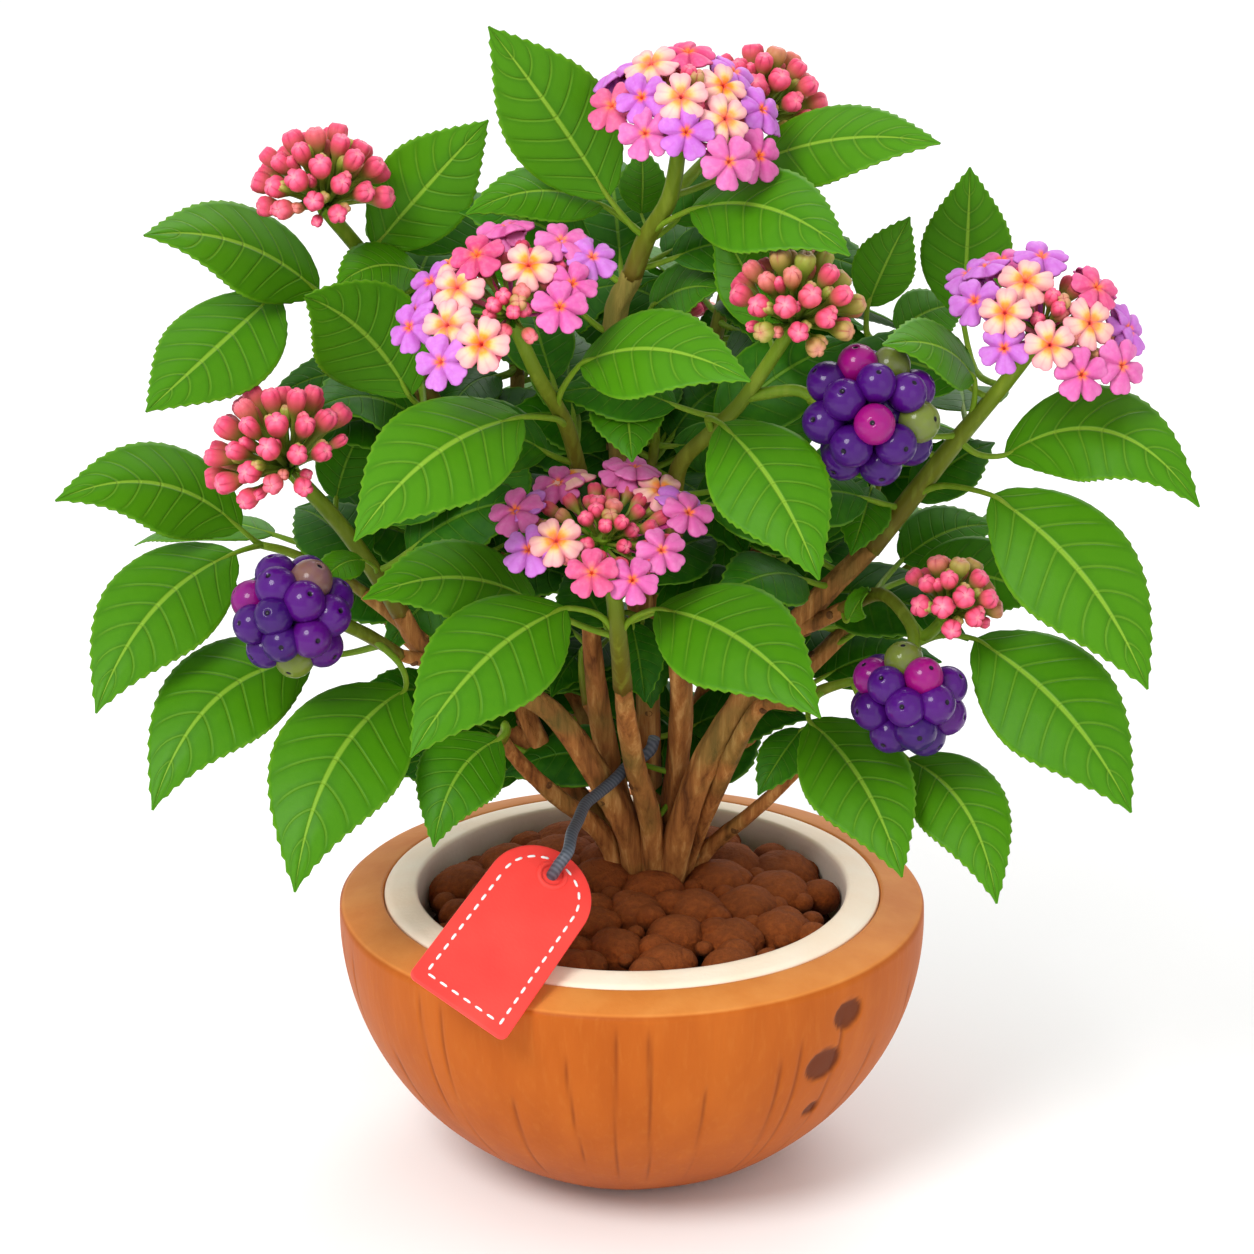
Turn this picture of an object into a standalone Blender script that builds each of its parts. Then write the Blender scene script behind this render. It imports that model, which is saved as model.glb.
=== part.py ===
"""A lantana in bloom, planted in half a coconut shell, with a blank tag tied to a stem.

Lengths are in millimetres until a mesh is made. The finished objects are in metres, +Z up, with the
origin under the middle of the pot. The side that faces -Y is the front.
"""
import math

import bmesh
import bpy
from mathutils import Vector
from mathutils.bvhtree import BVHTree
from mathutils.geometry import delaunay_2d_cdt

METRES = 0.001
GAP = 0.3
MERGE = 0.002

# Pot: half a coconut, an ellipsoid cut flat for its foot, its rim bevelled down and outwards
POT_RADIUS = 66.4
POT_HALF_HEIGHT = 62.8
POT_CENTRE = 58.7
POT_TOP = 61.7
POT_RINGS = 8
POT_SIDES = 28
FLESH_RADIUS = 56.1
FLESH_TOP = 64.0
BOWL_RADIUS = 48.6
BOWL_TOP = 65.0
SOIL_EDGE_ANGLE = 83.0
BOWL_STEPS = (30.0, 58.0, SOIL_EDGE_ANGLE)

# Soil: a low mound of round clods in a spiral
CLOD_COUNT = 34
CLOD_RADIUS = 8.6
CLOD_SPREAD = 42.0
CLOD_RISE = 0.62
SOIL_MARGIN = 2.5
SOIL_SPACING = 3.2
MOUND_EDGE = 57.0
MOUND_RISE = 5.0
GOLDEN_ANGLE = math.radians(137.508)

# The plant's woody root collar, and the plain hole for it in the soil
COLLAR_MIDDLE = (4.0, 11.5)
COLLAR_HALF = (14.5, 11.0)
COLLAR_SIDES = 12
COLLAR_BOTTOM = 52.0
COLLAR_TOP = 65.5

# Green stems are square, as on the living plant
STEM_SIDES = 4
STALK_UNDER_HEAD = 1.5
STEM_TIP = 0.9
TWIG_RADII = (1.4, 1.3)

# Leaves
LEAF_THICKNESS = 0.75
STALK_HALF_WIDTH = 0.75
STALK_HALF_THICKNESS = 0.65
SHARP_TURN = 0.6
LEAF_ARCH = 0.25
LEAF_OUTWARD = 0.35
LEAF_FOLD = 0.12
LONG_LEAF = 46.0
SHORT_LEAF = 26.0
TEETH_START = 0.12
TEETH_SPAN = 0.78
TOOTH_LEAN = 0.75
TOOTH_SHARE = 1.06
NOTCH_SHARE = 0.88
CLEAR_STALK = (1.2, 1.1)
CLEAR_THICKNESS = 1.9
CLEAR_MARGIN = 0.5
FRONT_FACE = (0.0, -0.7, 0.7)
UPRIGHT_FACE = (0.0, -0.97, 0.25)

# Flowers and berries
FLORET_RADIUS = 6.0
FLORET_NOTCH = 0.72
FLORET_THROAT = 0.9
FLORET_DIP = 2.6
DIP_SPACING = 3.2
FLORET_COVER = 1.2
DIP_COVER = 6.0
FLORET_FACING = 0.6
BUD_RADIUS = 2.8
BERRY_RADIUS = 4.3
HEAD_SEAT = 5.0
# An open head's points are joined as they are seen from this share of its radius under its base, with
# their angles from its axis spread by this much, and always less than its rim's
HEAD_DEEP = 0.6
HEAD_SPREAD = 1.6
HEAD_RIM_POLAR = math.radians(140)
HOLLOW_POLAR = math.radians(148)
SEAT_POLAR = math.radians(168)
HEAD_HOLLOW = 0.5
SEAT_RADIUS = 1.7
YOUNG_BUD_RADIUS = 2.24
YOUNG_BUD_DEPTH = 1.4
YOUNG_BUD_SPACING = 1.2
# A bud head's buds reach this far from its axis, and start at this share of its radius
BUD_HEAD_SEAT = 3.0
BUD_HEAD_WIDEST = math.radians(80)
BUD_HEAD_FOOT = 0.45
BUD_START = 0.62
BUD_CROWN = 1.6
# A bunch's berries lie all round it but at its stalk, each a low dome of two rings
BERRY_SEAT = 1.5
BERRY_STUB = 1.6
BERRY_STALK_SIDE = 1.68
BERRY_RINGS = ((50, 5), (5, 6))
BERRY_POINTS_APART = math.radians(7)

# The front view looks down on the plant at this angle
VIEW_ELEVATION = math.radians(20)
VIEW_UP = Vector((0, math.sin(VIEW_ELEVATION), math.cos(VIEW_ELEVATION)))
VIEW_OUT = Vector((0, -math.cos(VIEW_ELEVATION), math.sin(VIEW_ELEVATION)))

# Tag and its cord
TAG_HOLE = Vector((-17.6, -38.8, 82.9))
TAG_WAY = Vector((-0.50, -0.74, -0.45)).normalized()
TAG_SIDE_HINT = Vector((0.85, -0.20, -0.48))
TAG_WIDTH = 25.0
TAG_ARCH_RADIUS = 12.0
TAG_END_TO_HOLE = 6.2
TAG_LENGTH = 46.5
TAG_THICKNESS = 1.2
TAG_CORNER = 1.8
TAG_HOLE_RADIUS = 2.2
CORD_RADIUS = 1.35
CORD_TURN = 5.4
CORD_TURN_ANGLES = (10, 45, 75)
CORD_SINK = 0.05
CORD_SPACING = 3.6
CURVE_STEPS = 30
KNOT_RADIUS = 2.8

LEAF_GREEN = (0.07, 0.27, 0.02, 1.0)
BLOOM_PINK = (0.78, 0.22, 0.55, 1.0)
BUD_PINK = (0.80, 0.09, 0.26, 1.0)
BERRY_PURPLE = (0.05, 0.01, 0.13, 1.0)
BARK_BROWN = (0.22, 0.08, 0.02, 1.0)
SHELL_BROWN = (0.55, 0.17, 0.03, 1.0)
FLESH_CREAM = (0.93, 0.80, 0.66, 1.0)
SOIL_BROWN = (0.10, 0.025, 0.006, 1.0)
TAG_RED = (0.92, 0.06, 0.05, 1.0)
CORD_GREY = (0.07, 0.08, 0.10, 1.0)


# Woody branches: points from the crown upwards, root radius and end radius
WOOD = {
    "front": ([(5, 6, 58), (5, 4, 68), (4, 0, 82), (1, -4, 94), (-1, -12, 109), (-2, -18, 119)], 2.9, 2.1),
    "left": ([(1, 8, 58), (0, 5, 73), (-7, 0, 90), (-15, -3, 104), (-23, -5, 112), (-45, -8, 124),
              (-51, -11, 134)], 3.4, 2.1),
    "mid_left": ([(0, 12, 58), (-1, 11, 73), (-6, 6, 97), (-9, -1, 125), (-10, -13, 160)], 3.1, 1.9),
    "upper_left": ([(-2, 15, 58), (-5, 16, 70), (-20, 18, 90), (-30, 21, 116), (-39, 14, 164),
                    (-44, 11.5, 176)], 3.0, 1.8),
    "low_left": ([(-3, 9, 58), (-6, 7, 73), (-19, 2, 87), (-25, -2, 95), (-29, -8, 103)], 2.4, 1.5),
    "top": ([(4, 16, 58), (4, 16, 71), (3, 14, 118), (-2, 5, 159), (-4, -4, 197), (0, -7, 210)], 3.2, 2.3),
    "mid_right": ([(7, 10, 58), (8, 9, 70), (11, 2, 102), (10, -6, 126), (9, -18, 158)], 3.1, 1.9),
    "right": ([(8, 6, 58), (9, 4, 68), (15, -3, 92), (24, -8, 112), (37, -12, 133), (52, -14, 150)],
              3.6, 2.3),
    "low_right": ([(10, 8, 58), (13, 7, 69), (23, -8, 101), (29, -15, 114), (36, -20, 116)], 2.3, 1.5),
    "far_low_right": ([(12, 10, 58), (17, 9, 69), (29, 2, 83), (38, -2, 94)], 2.0, 1.4),
    "left_high": ([(-38, 14.5, 160), (-48, 17, 174), (-54, 16, 183)], 1.7, 1.5),
    "left_low": ([(-46, -8, 126), (-52, -6, 131), (-59, -4, 136)], 1.7, 1.4),
    "left_berry": ([(-40, -7, 121), (-46, -11, 123), (-51, -16, 126)], 1.7, 1.4),
    "right_behind": ([(37, -12, 133), (44, -9, 139), (48, -8, 144)], 1.8, 1.4),
    "right_low": ([(34, -11, 129), (42, -15, 134), (46, -17, 137)], 1.9, 1.5),
    "inner_centre": ([(-1, 7, 150), (2, 8, 156), (4, 8, 161)], 1.6, 1.3),
    "inner_left": ([(-30, 21, 116), (-34, 20, 125), (-37, 18, 131)], 1.6, 1.3),
    "inner_right": ([(24, -8, 112), (28, -3, 119), (31, 1, 124)], 1.8, 1.3),
    "inner_low": ([(-4, 8, 90), (-7, 11, 98), (-10, 12, 104)], 1.8, 1.3),
    "back_right": ([(8, 15, 58), (9, 17, 70), (18, 28, 104), (30, 40, 132), (36, 46, 148)], 2.8, 1.8),
    "back_far_right": ([(9, 13, 58), (12, 13, 70), (28, 19, 96), (48, 25, 116), (56, 27, 124)], 2.6, 1.7),
    "back_middle": ([(4, 17, 58), (3, 19, 70), (2, 36, 102), (2, 50, 126), (2, 57, 138)], 2.8, 1.8),
    "back_left": ([(0, 17, 58), (-2, 18, 70), (-14, 32, 100), (-28, 44, 128), (-34, 49, 142)], 2.8, 1.8),
    "back_far_left": ([(-3, 13, 58), (-6, 14, 70), (-28, 24, 94), (-50, 30, 112), (-58, 32, 120)], 2.6, 1.7),
    "back_top": ([(3, 14, 118), (8, 20, 146), (14, 26, 168), (17, 29, 178)], 2.2, 1.7),
    "back_top_left": ([(-30, 21, 116), (-27, 30, 142), (-26, 35, 164), (-26, 37, 174)], 2.0, 1.6),
}

# Green shoots: the stem's points after its branch's end; leaves as (stem point, base, tip, width, face)
# and how much of the usual bow they have, where that isn't all of it; twigs as (stem point, points), each
# up to a head or bunch. Shoots with a rule get back_leaves()
SHOOTS = {
    "front": dict(stem=[(-3, -32, 136), (-4, -36, 147), (-5, -37.5, 154)], leaves=[
        (1, (-14, -44, 147), (-46, -80, 127), 26, FRONT_FACE),
        (1, (5, -42, 146), (39, -78, 135), 26, FRONT_FACE),
        (1, (-17, -33, 147), (-52, -60, 159), 20.5, FRONT_FACE)]),
    "mid_left": dict(stem=[(-14, -24, 181), (-20, -38, 197), (-22.5, -43.5, 203)], leaves=[
        (1, (-23, -42, 189), (-57, -76, 173), 26, FRONT_FACE),
        (1, (-11, -44, 201), (24, -72, 206), 22, FRONT_FACE)]),
    "top": dict(stem=[(3, -10, 219), (8, -17, 230), (10.5, -21, 237)], twigs=[
        (1, [(9, -8, 228), (17, 2, 234), (25, 5, 240.5)])], leaves=[
        (1, (-5, -14, 229), (-30, -22, 268), 23, UPRIGHT_FACE, 0.2),
        (1, (13, -20, 226), (47, -46, 220), 22, FRONT_FACE),
        (1, (-6, -6, 225), (-33, -26, 231), 14, FRONT_FACE),
        (2, (24, -8, 234), (64, -34, 246), 19.5, FRONT_FACE, 0.6),
        (2, (2, 2, 221), (2, 12, 233), 10, UPRIGHT_FACE)]),
    "upper_left": dict(stem=[(-51, 8, 191), (-54, 5, 201), (-57, 2, 210), (-62.5, -4, 223)], leaves=[
        (3, (-56, 2, 213.5), (-32, -10, 243.5), 20.5, UPRIGHT_FACE, 0.1),
        (2, (-46, -2, 209), (-63, -20, 211), 14, FRONT_FACE),
        (0.4, (-48, -12, 184), (-69, -34, 213), 24, UPRIGHT_FACE)]),
    "left_high": dict(stem=[(-60, 9, 192), (-66, 5, 200)], leaves=[
        (2, (-68, 0, 204), (-103, -26, 224), 22, FRONT_FACE, 0.9),
        (2, (-71, -4, 199), (-97, -36, 179), 24, FRONT_FACE, 0)]),
    "left": dict(stem=[(-55, -13, 142), (-63, -17, 156), (-70.5, -23, 168)], leaves=[
        (2, (-65, -4, 158), (-57, 4, 175), 13, UPRIGHT_FACE)]),
    "left_low": dict(stem=[(-66, -1, 140), (-76, 1, 144), (-82, 0, 146)], leaves=[
        (3, (-86, -4, 151), (-124, -26, 165), 22, FRONT_FACE, 1.3),
        (3, (-87, -8, 147), (-115, -44, 123), 25, FRONT_FACE, 1.1)]),
    "left_berry": dict(stem=[(-57, -21, 132), (-62, -27, 137), (-65, -31, 140)], leaves=[
        (0.6, (-70.5, -16, 125), (-103, -50, 103), 25, FRONT_FACE, 1.6),
        (1, (-49.5, -24, 121), (-72, -62, 89), 28.5, FRONT_FACE, 1.6)]),
    "low_left": dict(stem=[(-28, -13, 107), (-28, -17, 110)], leaves=[
        (2, (-29, -23, 109), (-43, -44, 92), 18.5, FRONT_FACE, 1.8)]),
    "right": dict(stem=[(61, -16, 163), (70, -20, 177), (79, -24, 190), (83, -26.5, 195.5)], leaves=[
        (1, (77, -28, 167), (109, -56, 133), 27.5, FRONT_FACE),
        (2, (80, -22, 174), (120, -42, 169), 23, FRONT_FACE, 2),
        (2, (73, -26, 192), (49, -50, 205), 15.5, FRONT_FACE),
        (3, (72, 2, 198), (73, 4, 231), 19.5, UPRIGHT_FACE)]),
    "mid_right": dict(stem=[(10, -24, 172), (17, -30, 182), (24, -34, 191), (31, -40, 205)], twigs=[
        (3, [(34, -36, 193), (38, -39, 192)])], leaves=[
        (2, (22, -44, 190), (42, -72, 165), 24, FRONT_FACE),
        (4, (29, -22, 201), (17, -10, 223), 14, UPRIGHT_FACE)]),
    "right_behind": dict(stem=[(53, -2, 157), (55, 2, 172), (53, 2, 192)], leaves=[
        (3, (51, -4, 202), (60, 0, 221), 13, UPRIGHT_FACE),
        (3, (58, 4, 194), (74, 16, 196), 13, FRONT_FACE),
        (1, (52, -8, 159), (47, -22, 147), 11, FRONT_FACE)]),
    "right_low": dict(stem=[(54, -24, 143), (60, -32, 139), (61, -35, 135.5)], twigs=[
        (2, [(63, -34, 137), (66, -37, 141)])], leaves=[
        (3, (67.5, -38, 133), (99.5, -66, 104), 27.5, FRONT_FACE, 0.9),
        (1, (62, -10, 142), (91, -14, 137), 19.5, FRONT_FACE),
        (1, (60, -6, 146), (82, 8, 150), 15.5, FRONT_FACE)]),
    "low_right": dict(stem=[(42, -24, 121), (48, -27, 124)], leaves=[
        (1, (38.5, -30, 116), (57.5, -62, 92.5), 23, FRONT_FACE),
        (2, (60, -30, 107), (78, -60, 85.5), 19.5, FRONT_FACE, 1.6)]),
    "far_low_right": dict(stem=[(43, -1, 97), (46, 0, 100)], leaves=[
        (2, (38, -4, 104), (28, -14, 92), 10, FRONT_FACE)]),
    "inner_centre": dict(stem=[(5, 5, 168), (5, 2, 178)], leaves=[
        (1, (-6, -22, 190), (-4, -40, 178), 15.5, FRONT_FACE),
        (2, (4, 4, 199), (19, -8, 207), 15.5, FRONT_FACE),
        (1, (9, 6, 167), (28, 4, 162), 13, FRONT_FACE),
        (1, (-7, 10, 170), (-27, 8, 166), 13, FRONT_FACE)]),
    "inner_left": dict(stem=[(-38, 14, 140), (-43, 12, 150)], leaves=[
        (1, (-45, 4, 147), (-57, 0, 167), 15.5, UPRIGHT_FACE),
        (1, (-34, 4, 150), (-25, 0, 173), 17.5, UPRIGHT_FACE),
        (1, (-36, 4, 137), (-54, -8, 128), 15.5, FRONT_FACE)]),
    "inner_right": dict(stem=[(31, 6, 140), (30, 8, 152)], leaves=[
        (1, (25, 2, 146), (7, -4, 140), 15.5, FRONT_FACE),
        (1, (37, 2, 145), (48, 0, 166), 15.5, UPRIGHT_FACE),
        (2, (29, 6, 161), (35, 6, 182), 15.5, UPRIGHT_FACE)]),
    "inner_low": dict(stem=[(-11, 11, 112), (-11, 9, 118)], leaves=[
        (2, (-8, -4, 128), (-5, -12, 112), 11, FRONT_FACE),
        (2, (2, -2, 130), (5, -10, 112), 13, FRONT_FACE)]),
    "back_right": dict(stem=[(40, 50, 158), (44, 54, 168)], rule=True),
    "back_far_right": dict(stem=[(65, 29, 132), (73, 30, 139)], rule=True),
    "back_middle": dict(stem=[(2, 62, 150), (2, 66, 160), (2, 68, 168)], rule=True),
    "back_left": dict(stem=[(-39, 53, 152), (-43, 56, 161)], rule=True),
    "back_far_left": dict(stem=[(-67, 33, 128), (-75, 33, 135)], rule=True),
    "back_top": dict(stem=[(20, 32, 190), (22, 34, 200), (23, 35, 206)], rule=True),
    "back_top_left": dict(stem=[(-27, 39, 184), (-28, 41, 194)], rule=True),
}
BACK_LEAF_LENGTH = 37.0
BACK_LEAF_WIDTH = 20.0
BACK_LEAF_FALL = 13.0
BACK_STALK = 7.5

# Open heads: middle of the dome's base, axis, radius and height, florets as (across, up) from that middle
# where the front view shows them, and the middle, reach and number of the buds between them
OPEN_HEADS = {
    "head_front": dict(centre=(-6.4, -41, 164.4), axis=(-0.02, -0.34, 0.94), radius=19.5, height=4.5,
                       florets=[
        (-9.5, 9.5), (5, 11.5), (-18, 2.5), (-15.5, -5), (-9.5, -3.5), (-2, -10.5), (6.5, -11.5),
        (12.5, -5.5), (18, 2), (12.5, 8)], bud_middle=(0.5, 2), bud_reach=5.5, buds=7),
    "head_mid_left": dict(centre=(-26.9, -46, 215.7), axis=(-0.30, -0.45, 0.84), radius=20, height=7,
                          florets=[
        (-15.5, 4.5), (-1, 14), (-5, 8.5), (-9.5, 2.5), (5.5, 6.5), (12, 11.5), (14.5, 3), (18.5, 8.5),
        (-18.5, -6), (-11.5, -5.5), (-4, -10), (-12, -13.5), (12, -2)],
        bud_middle=(2.5, -1.5), bud_reach=4.5, buds=5),
    "head_top": dict(centre=(11.1, -23, 248.7), axis=(0.20, -0.25, 0.95), radius=18, height=12, florets=[
        (-13, 9), (-7, 10.5), (0.5, 12.5), (-15.5, 2), (-9, 3), (-1, 2.5), (8, 6), (8, -1.5), (15, 1),
        (-8.5, -4.5), (0, -4.5), (8.5, -10.5), (15.5, -8.5), (10, 9.5)],
        bud_middle=(1.5, 8), bud_reach=1.5, buds=2),
    "head_right": dict(centre=(88.2, -28, 206.4), axis=(0.30, -0.33, 0.90), radius=18.5, height=10, florets=[
        (-16.5, 10), (-9, 12.5), (-1.5, 12), (-5.5, 7.5), (-16, 3), (-10, 0), (-10.5, -7), (-1, -6.5),
        (9, 5.5), (8, -1.5), (16.5, -2.5), (14, -10.5), (6, -12.5)],
        bud_middle=(1, 3), bud_reach=2.5, buds=3),
    "head_back_middle": dict(centre=(2, 70, 178), axis=(0.0, 0.45, 0.89), radius=18.5, height=10, florets=[],
                             bud_middle=(0, 9), bud_reach=1.0, buds=1),
}
# Hidden florets: their number behind each head, the turn between them and their reach as a share of its
# radius, and the number all round the head at the back
BACK_FLORETS = 4
BACK_TURN = math.radians(46)
BACK_REACH = 0.93
ROUND_FLORETS = 11
# Bud heads: middle, axis, radius to the bud tips, number of buds
BUD_HEADS = {
    "buds_upper_left": dict(centre=(-66.2, -6, 227), axis=(-0.10, -0.25, 0.96), radius=16.5, buds=13),
    "buds_left": dict(centre=(-74.5, -26, 174), axis=(-0.45, -0.30, 0.84), radius=18.0, buds=14),
    "buds_top": dict(centre=(28.0, 6, 243.5), axis=(0.25, -0.10, 0.96), radius=14.5, buds=11),
    "buds_mid_right": dict(centre=(34, -41.5, 211), axis=(0.15, -0.35, 0.92), radius=15.5, buds=12),
    "buds_low_right": dict(centre=(68, -38, 145.5), axis=(0.20, -0.30, 0.93), radius=11.5, buds=8),
    "buds_back_top": dict(centre=(23.5, 36, 210), axis=(0.10, 0.30, 0.95), radius=14.5, buds=11),
}
# Berry bunches: middle, radius, and the way their stalk leaves
BERRY_BUNCHES = {
    "berries_left": dict(centre=(-72.6, -40, 144), radius=13.7, count=15, stalk=(0.62, 0.72, -0.30)),
    "berries_right": dict(centre=(49.5, -46, 191), radius=15.4, count=17, stalk=(-0.80, 0.60, 0.05)),
    "berries_low_right": dict(centre=(59, -46, 127.5), radius=13.2, count=14, stalk=(0.15, 0.82, 0.55)),
}
HEAD_OF_STEM = {
    "front": "head_front", "mid_left": "head_mid_left", "top": "head_top", "right": "head_right",
    "upper_left": "buds_upper_left", "left": "buds_left", "mid_right": "buds_mid_right",
    "left_berry": "berries_left", "right_low": "berries_low_right",
    "back_middle": "head_back_middle", "back_top": "buds_back_top",
}
HEAD_OF_TWIG = {"top": "buds_top", "mid_right": "berries_right", "right_low": "buds_low_right"}

CORD_ROUTE = [
    (5.0, 1.8, 99.5), (4.2, 2.2, 96.5), (2.0, 2.4, 94.4), (-1.0, 0.9, 93.0), (-3.4, -2.2, 91.5),
    (-5.8, -5.4, 90.5), (-8.0, -9.4, 90.2), (-10.4, -15.0, 90.2), (-12.0, -24.0, 89.8), (-13.2, -31.5, 90.0),
]


def material(name, colour, roughness, metallic=0.0):
    made = bpy.data.materials.new(name)
    made.use_nodes = True
    shader = made.node_tree.nodes["Principled BSDF"]
    shader.inputs["Base Color"].default_value = colour
    shader.inputs["Roughness"].default_value = roughness
    shader.inputs["Metallic"].default_value = metallic
    return made


def mesh_object(name, solid, finish=None):
    """An object in metres from (points in millimetres, faces), its faces turned outwards."""
    points, faces = solid
    mesh = bpy.data.meshes.new(name)
    mesh.from_pydata([tuple(Vector(point) * METRES) for point in points], [], faces)
    shape = bmesh.new()
    shape.from_mesh(mesh)
    bmesh.ops.recalc_face_normals(shape, faces=shape.faces)
    shape.to_mesh(mesh)
    shape.free()
    if finish:
        mesh.materials.append(finish)
    made = bpy.data.objects.new(name, mesh)
    bpy.context.scene.collection.objects.link(made)
    return made


def drop(made):
    mesh = made.data
    bpy.data.objects.remove(made)
    bpy.data.meshes.remove(mesh)


def join_all(name, solids, finish):
    """All the solids joined into one object by a Boolean union."""
    made = mesh_object(name, solids[0])
    group = bpy.data.collections.new(name + "_others")
    bpy.context.scene.collection.children.link(group)
    for number, other in enumerate(solids[1:]):
        piece = mesh_object(f"{name}_{number}", other)
        bpy.context.scene.collection.objects.unlink(piece)
        group.objects.link(piece)
    union = made.modifiers.new("union", "BOOLEAN")
    union.operation = "UNION"
    union.operand_type = "COLLECTION"
    union.collection = group
    union.solver = "EXACT"
    bpy.context.view_layer.update()
    result = bpy.data.meshes.new_from_object(made.evaluated_get(bpy.context.evaluated_depsgraph_get()))
    for piece in list(group.objects):
        drop(piece)
    bpy.data.collections.remove(group)
    drop(made)
    result.name = name
    result.materials.clear()
    result.materials.append(finish)
    tidy_mesh(result)
    bpy.context.scene.collection.objects.link(bpy.data.objects.new(name, result))


def tidy_mesh(mesh):
    """Triangulate a joined mesh and merge the points that a cut leaves almost together."""
    shape = bmesh.new()
    shape.from_mesh(mesh)
    bmesh.ops.triangulate(shape, faces=shape.faces)
    bmesh.ops.remove_doubles(shape, verts=shape.verts, dist=MERGE * METRES)
    shape.to_mesh(mesh)
    shape.free()


def square_to(way):
    """Two unit vectors square to the way given and to each other."""
    way = way.normalized()
    hint = Vector((0, 0, 1)) if abs(way.z) < 0.9 else Vector((1, 0, 0))
    first = way.cross(hint).normalized()
    return first, way.cross(first).normalized()


def rings_solid(rings):
    """A closed solid through rings of equal count, with flat ends."""
    count = len(rings[0])
    points = [point for ring in rings for point in ring]
    faces = [tuple(reversed(range(count)))]
    for level in range(len(rings) - 1):
        low, high = level * count, (level + 1) * count
        for side in range(count):
            after = (side + 1) % count
            faces.append((low + side, low + after, high + after, high + side))
    faces.append(tuple(range(len(points) - count, len(points))))
    return points, faces


def tube(points, start_radius, end_radius, sides=5, last_way=None, extra=0.0):
    """A tapering stem through the points, its last end square to last_way."""
    points = [Vector(point) for point in points]
    last = len(points) - 1
    across = square_to(points[1] - points[0])[0]
    rings = []
    for index, point in enumerate(points):
        way = points[min(index + 1, last)] - points[max(index - 1, 0)]
        if index == last and last_way is not None:
            way = Vector(last_way)
        way.normalize()
        across = (across - way * across.dot(way)).normalized()
        other = way.cross(across)
        radius = start_radius + (end_radius - start_radius) * index / last + extra
        turns = [2 * math.pi * side / sides for side in range(sides)]
        rings.append([point + (across * math.cos(turn) + other * math.sin(turn)) * radius for turn in turns])
    return rings_solid(rings)


def turned(profile, sides, centre=(0, 0, 0), axis=(0, 0, 1)):
    """A solid of revolution: profile is (radius, height) from one pole to the other."""
    axis = Vector(axis).normalized()
    first, second = (Vector((1, 0, 0)), Vector((0, 1, 0))) if axis.z > 0.9999 else square_to(axis)
    centre = Vector(centre)
    points, rows = [], []
    for radius, height in profile:
        if radius < 1e-6:
            rows.append([len(points)])
            points.append(centre + axis * height)
            continue
        rows.append(list(range(len(points), len(points) + sides)))
        for side in range(sides):
            turn = 2 * math.pi * side / sides
            spoke = first * math.cos(turn) + second * math.sin(turn)
            points.append(centre + axis * height + spoke * radius)
    faces = []
    for low, high in zip(rows, rows[1:]):
        for side in range(sides):
            after = (side + 1) % sides
            if len(low) == 1:
                faces.append((low[0], high[side], high[after]))
            elif len(high) == 1:
                faces.append((low[side], low[after], high[0]))
            else:
                faces.append((low[side], low[after], high[after], high[side]))
    return points, faces


def arc_profile(radius, height, angles):
    """Points of a sphere's lower half, by the angle from its bottom pole."""
    return [(radius * math.sin(math.radians(angle)), height - radius * math.cos(math.radians(angle)))
            for angle in angles]


def pot_shell():
    foot, top = (math.acos((POT_CENTRE - height) / POT_HALF_HEIGHT) for height in (0, POT_TOP))
    turns = [foot + (top - foot) * ring / (POT_RINGS - 1) for ring in range(POT_RINGS)]
    outer = [(POT_RADIUS * math.sin(turn), POT_CENTRE - POT_HALF_HEIGHT * math.cos(turn)) for turn in turns]
    inner = arc_profile(FLESH_RADIUS + GAP, FLESH_TOP, [90, *reversed(BOWL_STEPS)])
    profile = [(0, 0), *outer, *inner, (0, FLESH_TOP - FLESH_RADIUS - GAP)]
    return turned(profile, POT_SIDES)


def pot_lining():
    outer = arc_profile(FLESH_RADIUS, FLESH_TOP, [*BOWL_STEPS, 90])
    inner = arc_profile(BOWL_RADIUS, BOWL_TOP, [90, *reversed(BOWL_STEPS)])
    return turned([(0, FLESH_TOP - FLESH_RADIUS), *outer, *inner, (0, BOWL_TOP - BOWL_RADIUS)], POT_SIDES)


def clods():
    """Middle and radius of each clod, in a spiral from the middle of the pot outwards."""
    spread = []
    for number in range(CLOD_COUNT):
        reach = CLOD_SPREAD * math.sqrt((number + 0.5) / CLOD_COUNT)
        turn = number * GOLDEN_ANGLE
        size = CLOD_RADIUS * (1 + 0.13 * math.sin(2.4 * number))
        spread.append((reach * math.cos(turn), reach * math.sin(turn), size))
    return spread


def soil_height(x, y, spread):
    mound = MOUND_EDGE + MOUND_RISE * (1 - (x * x + y * y) / BOWL_RADIUS ** 2)
    rise = max(math.sqrt(max(size ** 2 - (x - cx) ** 2 - (y - cy) ** 2, 0.0)) for cx, cy, size in spread)
    return mound + CLOD_RISE * rise


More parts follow.
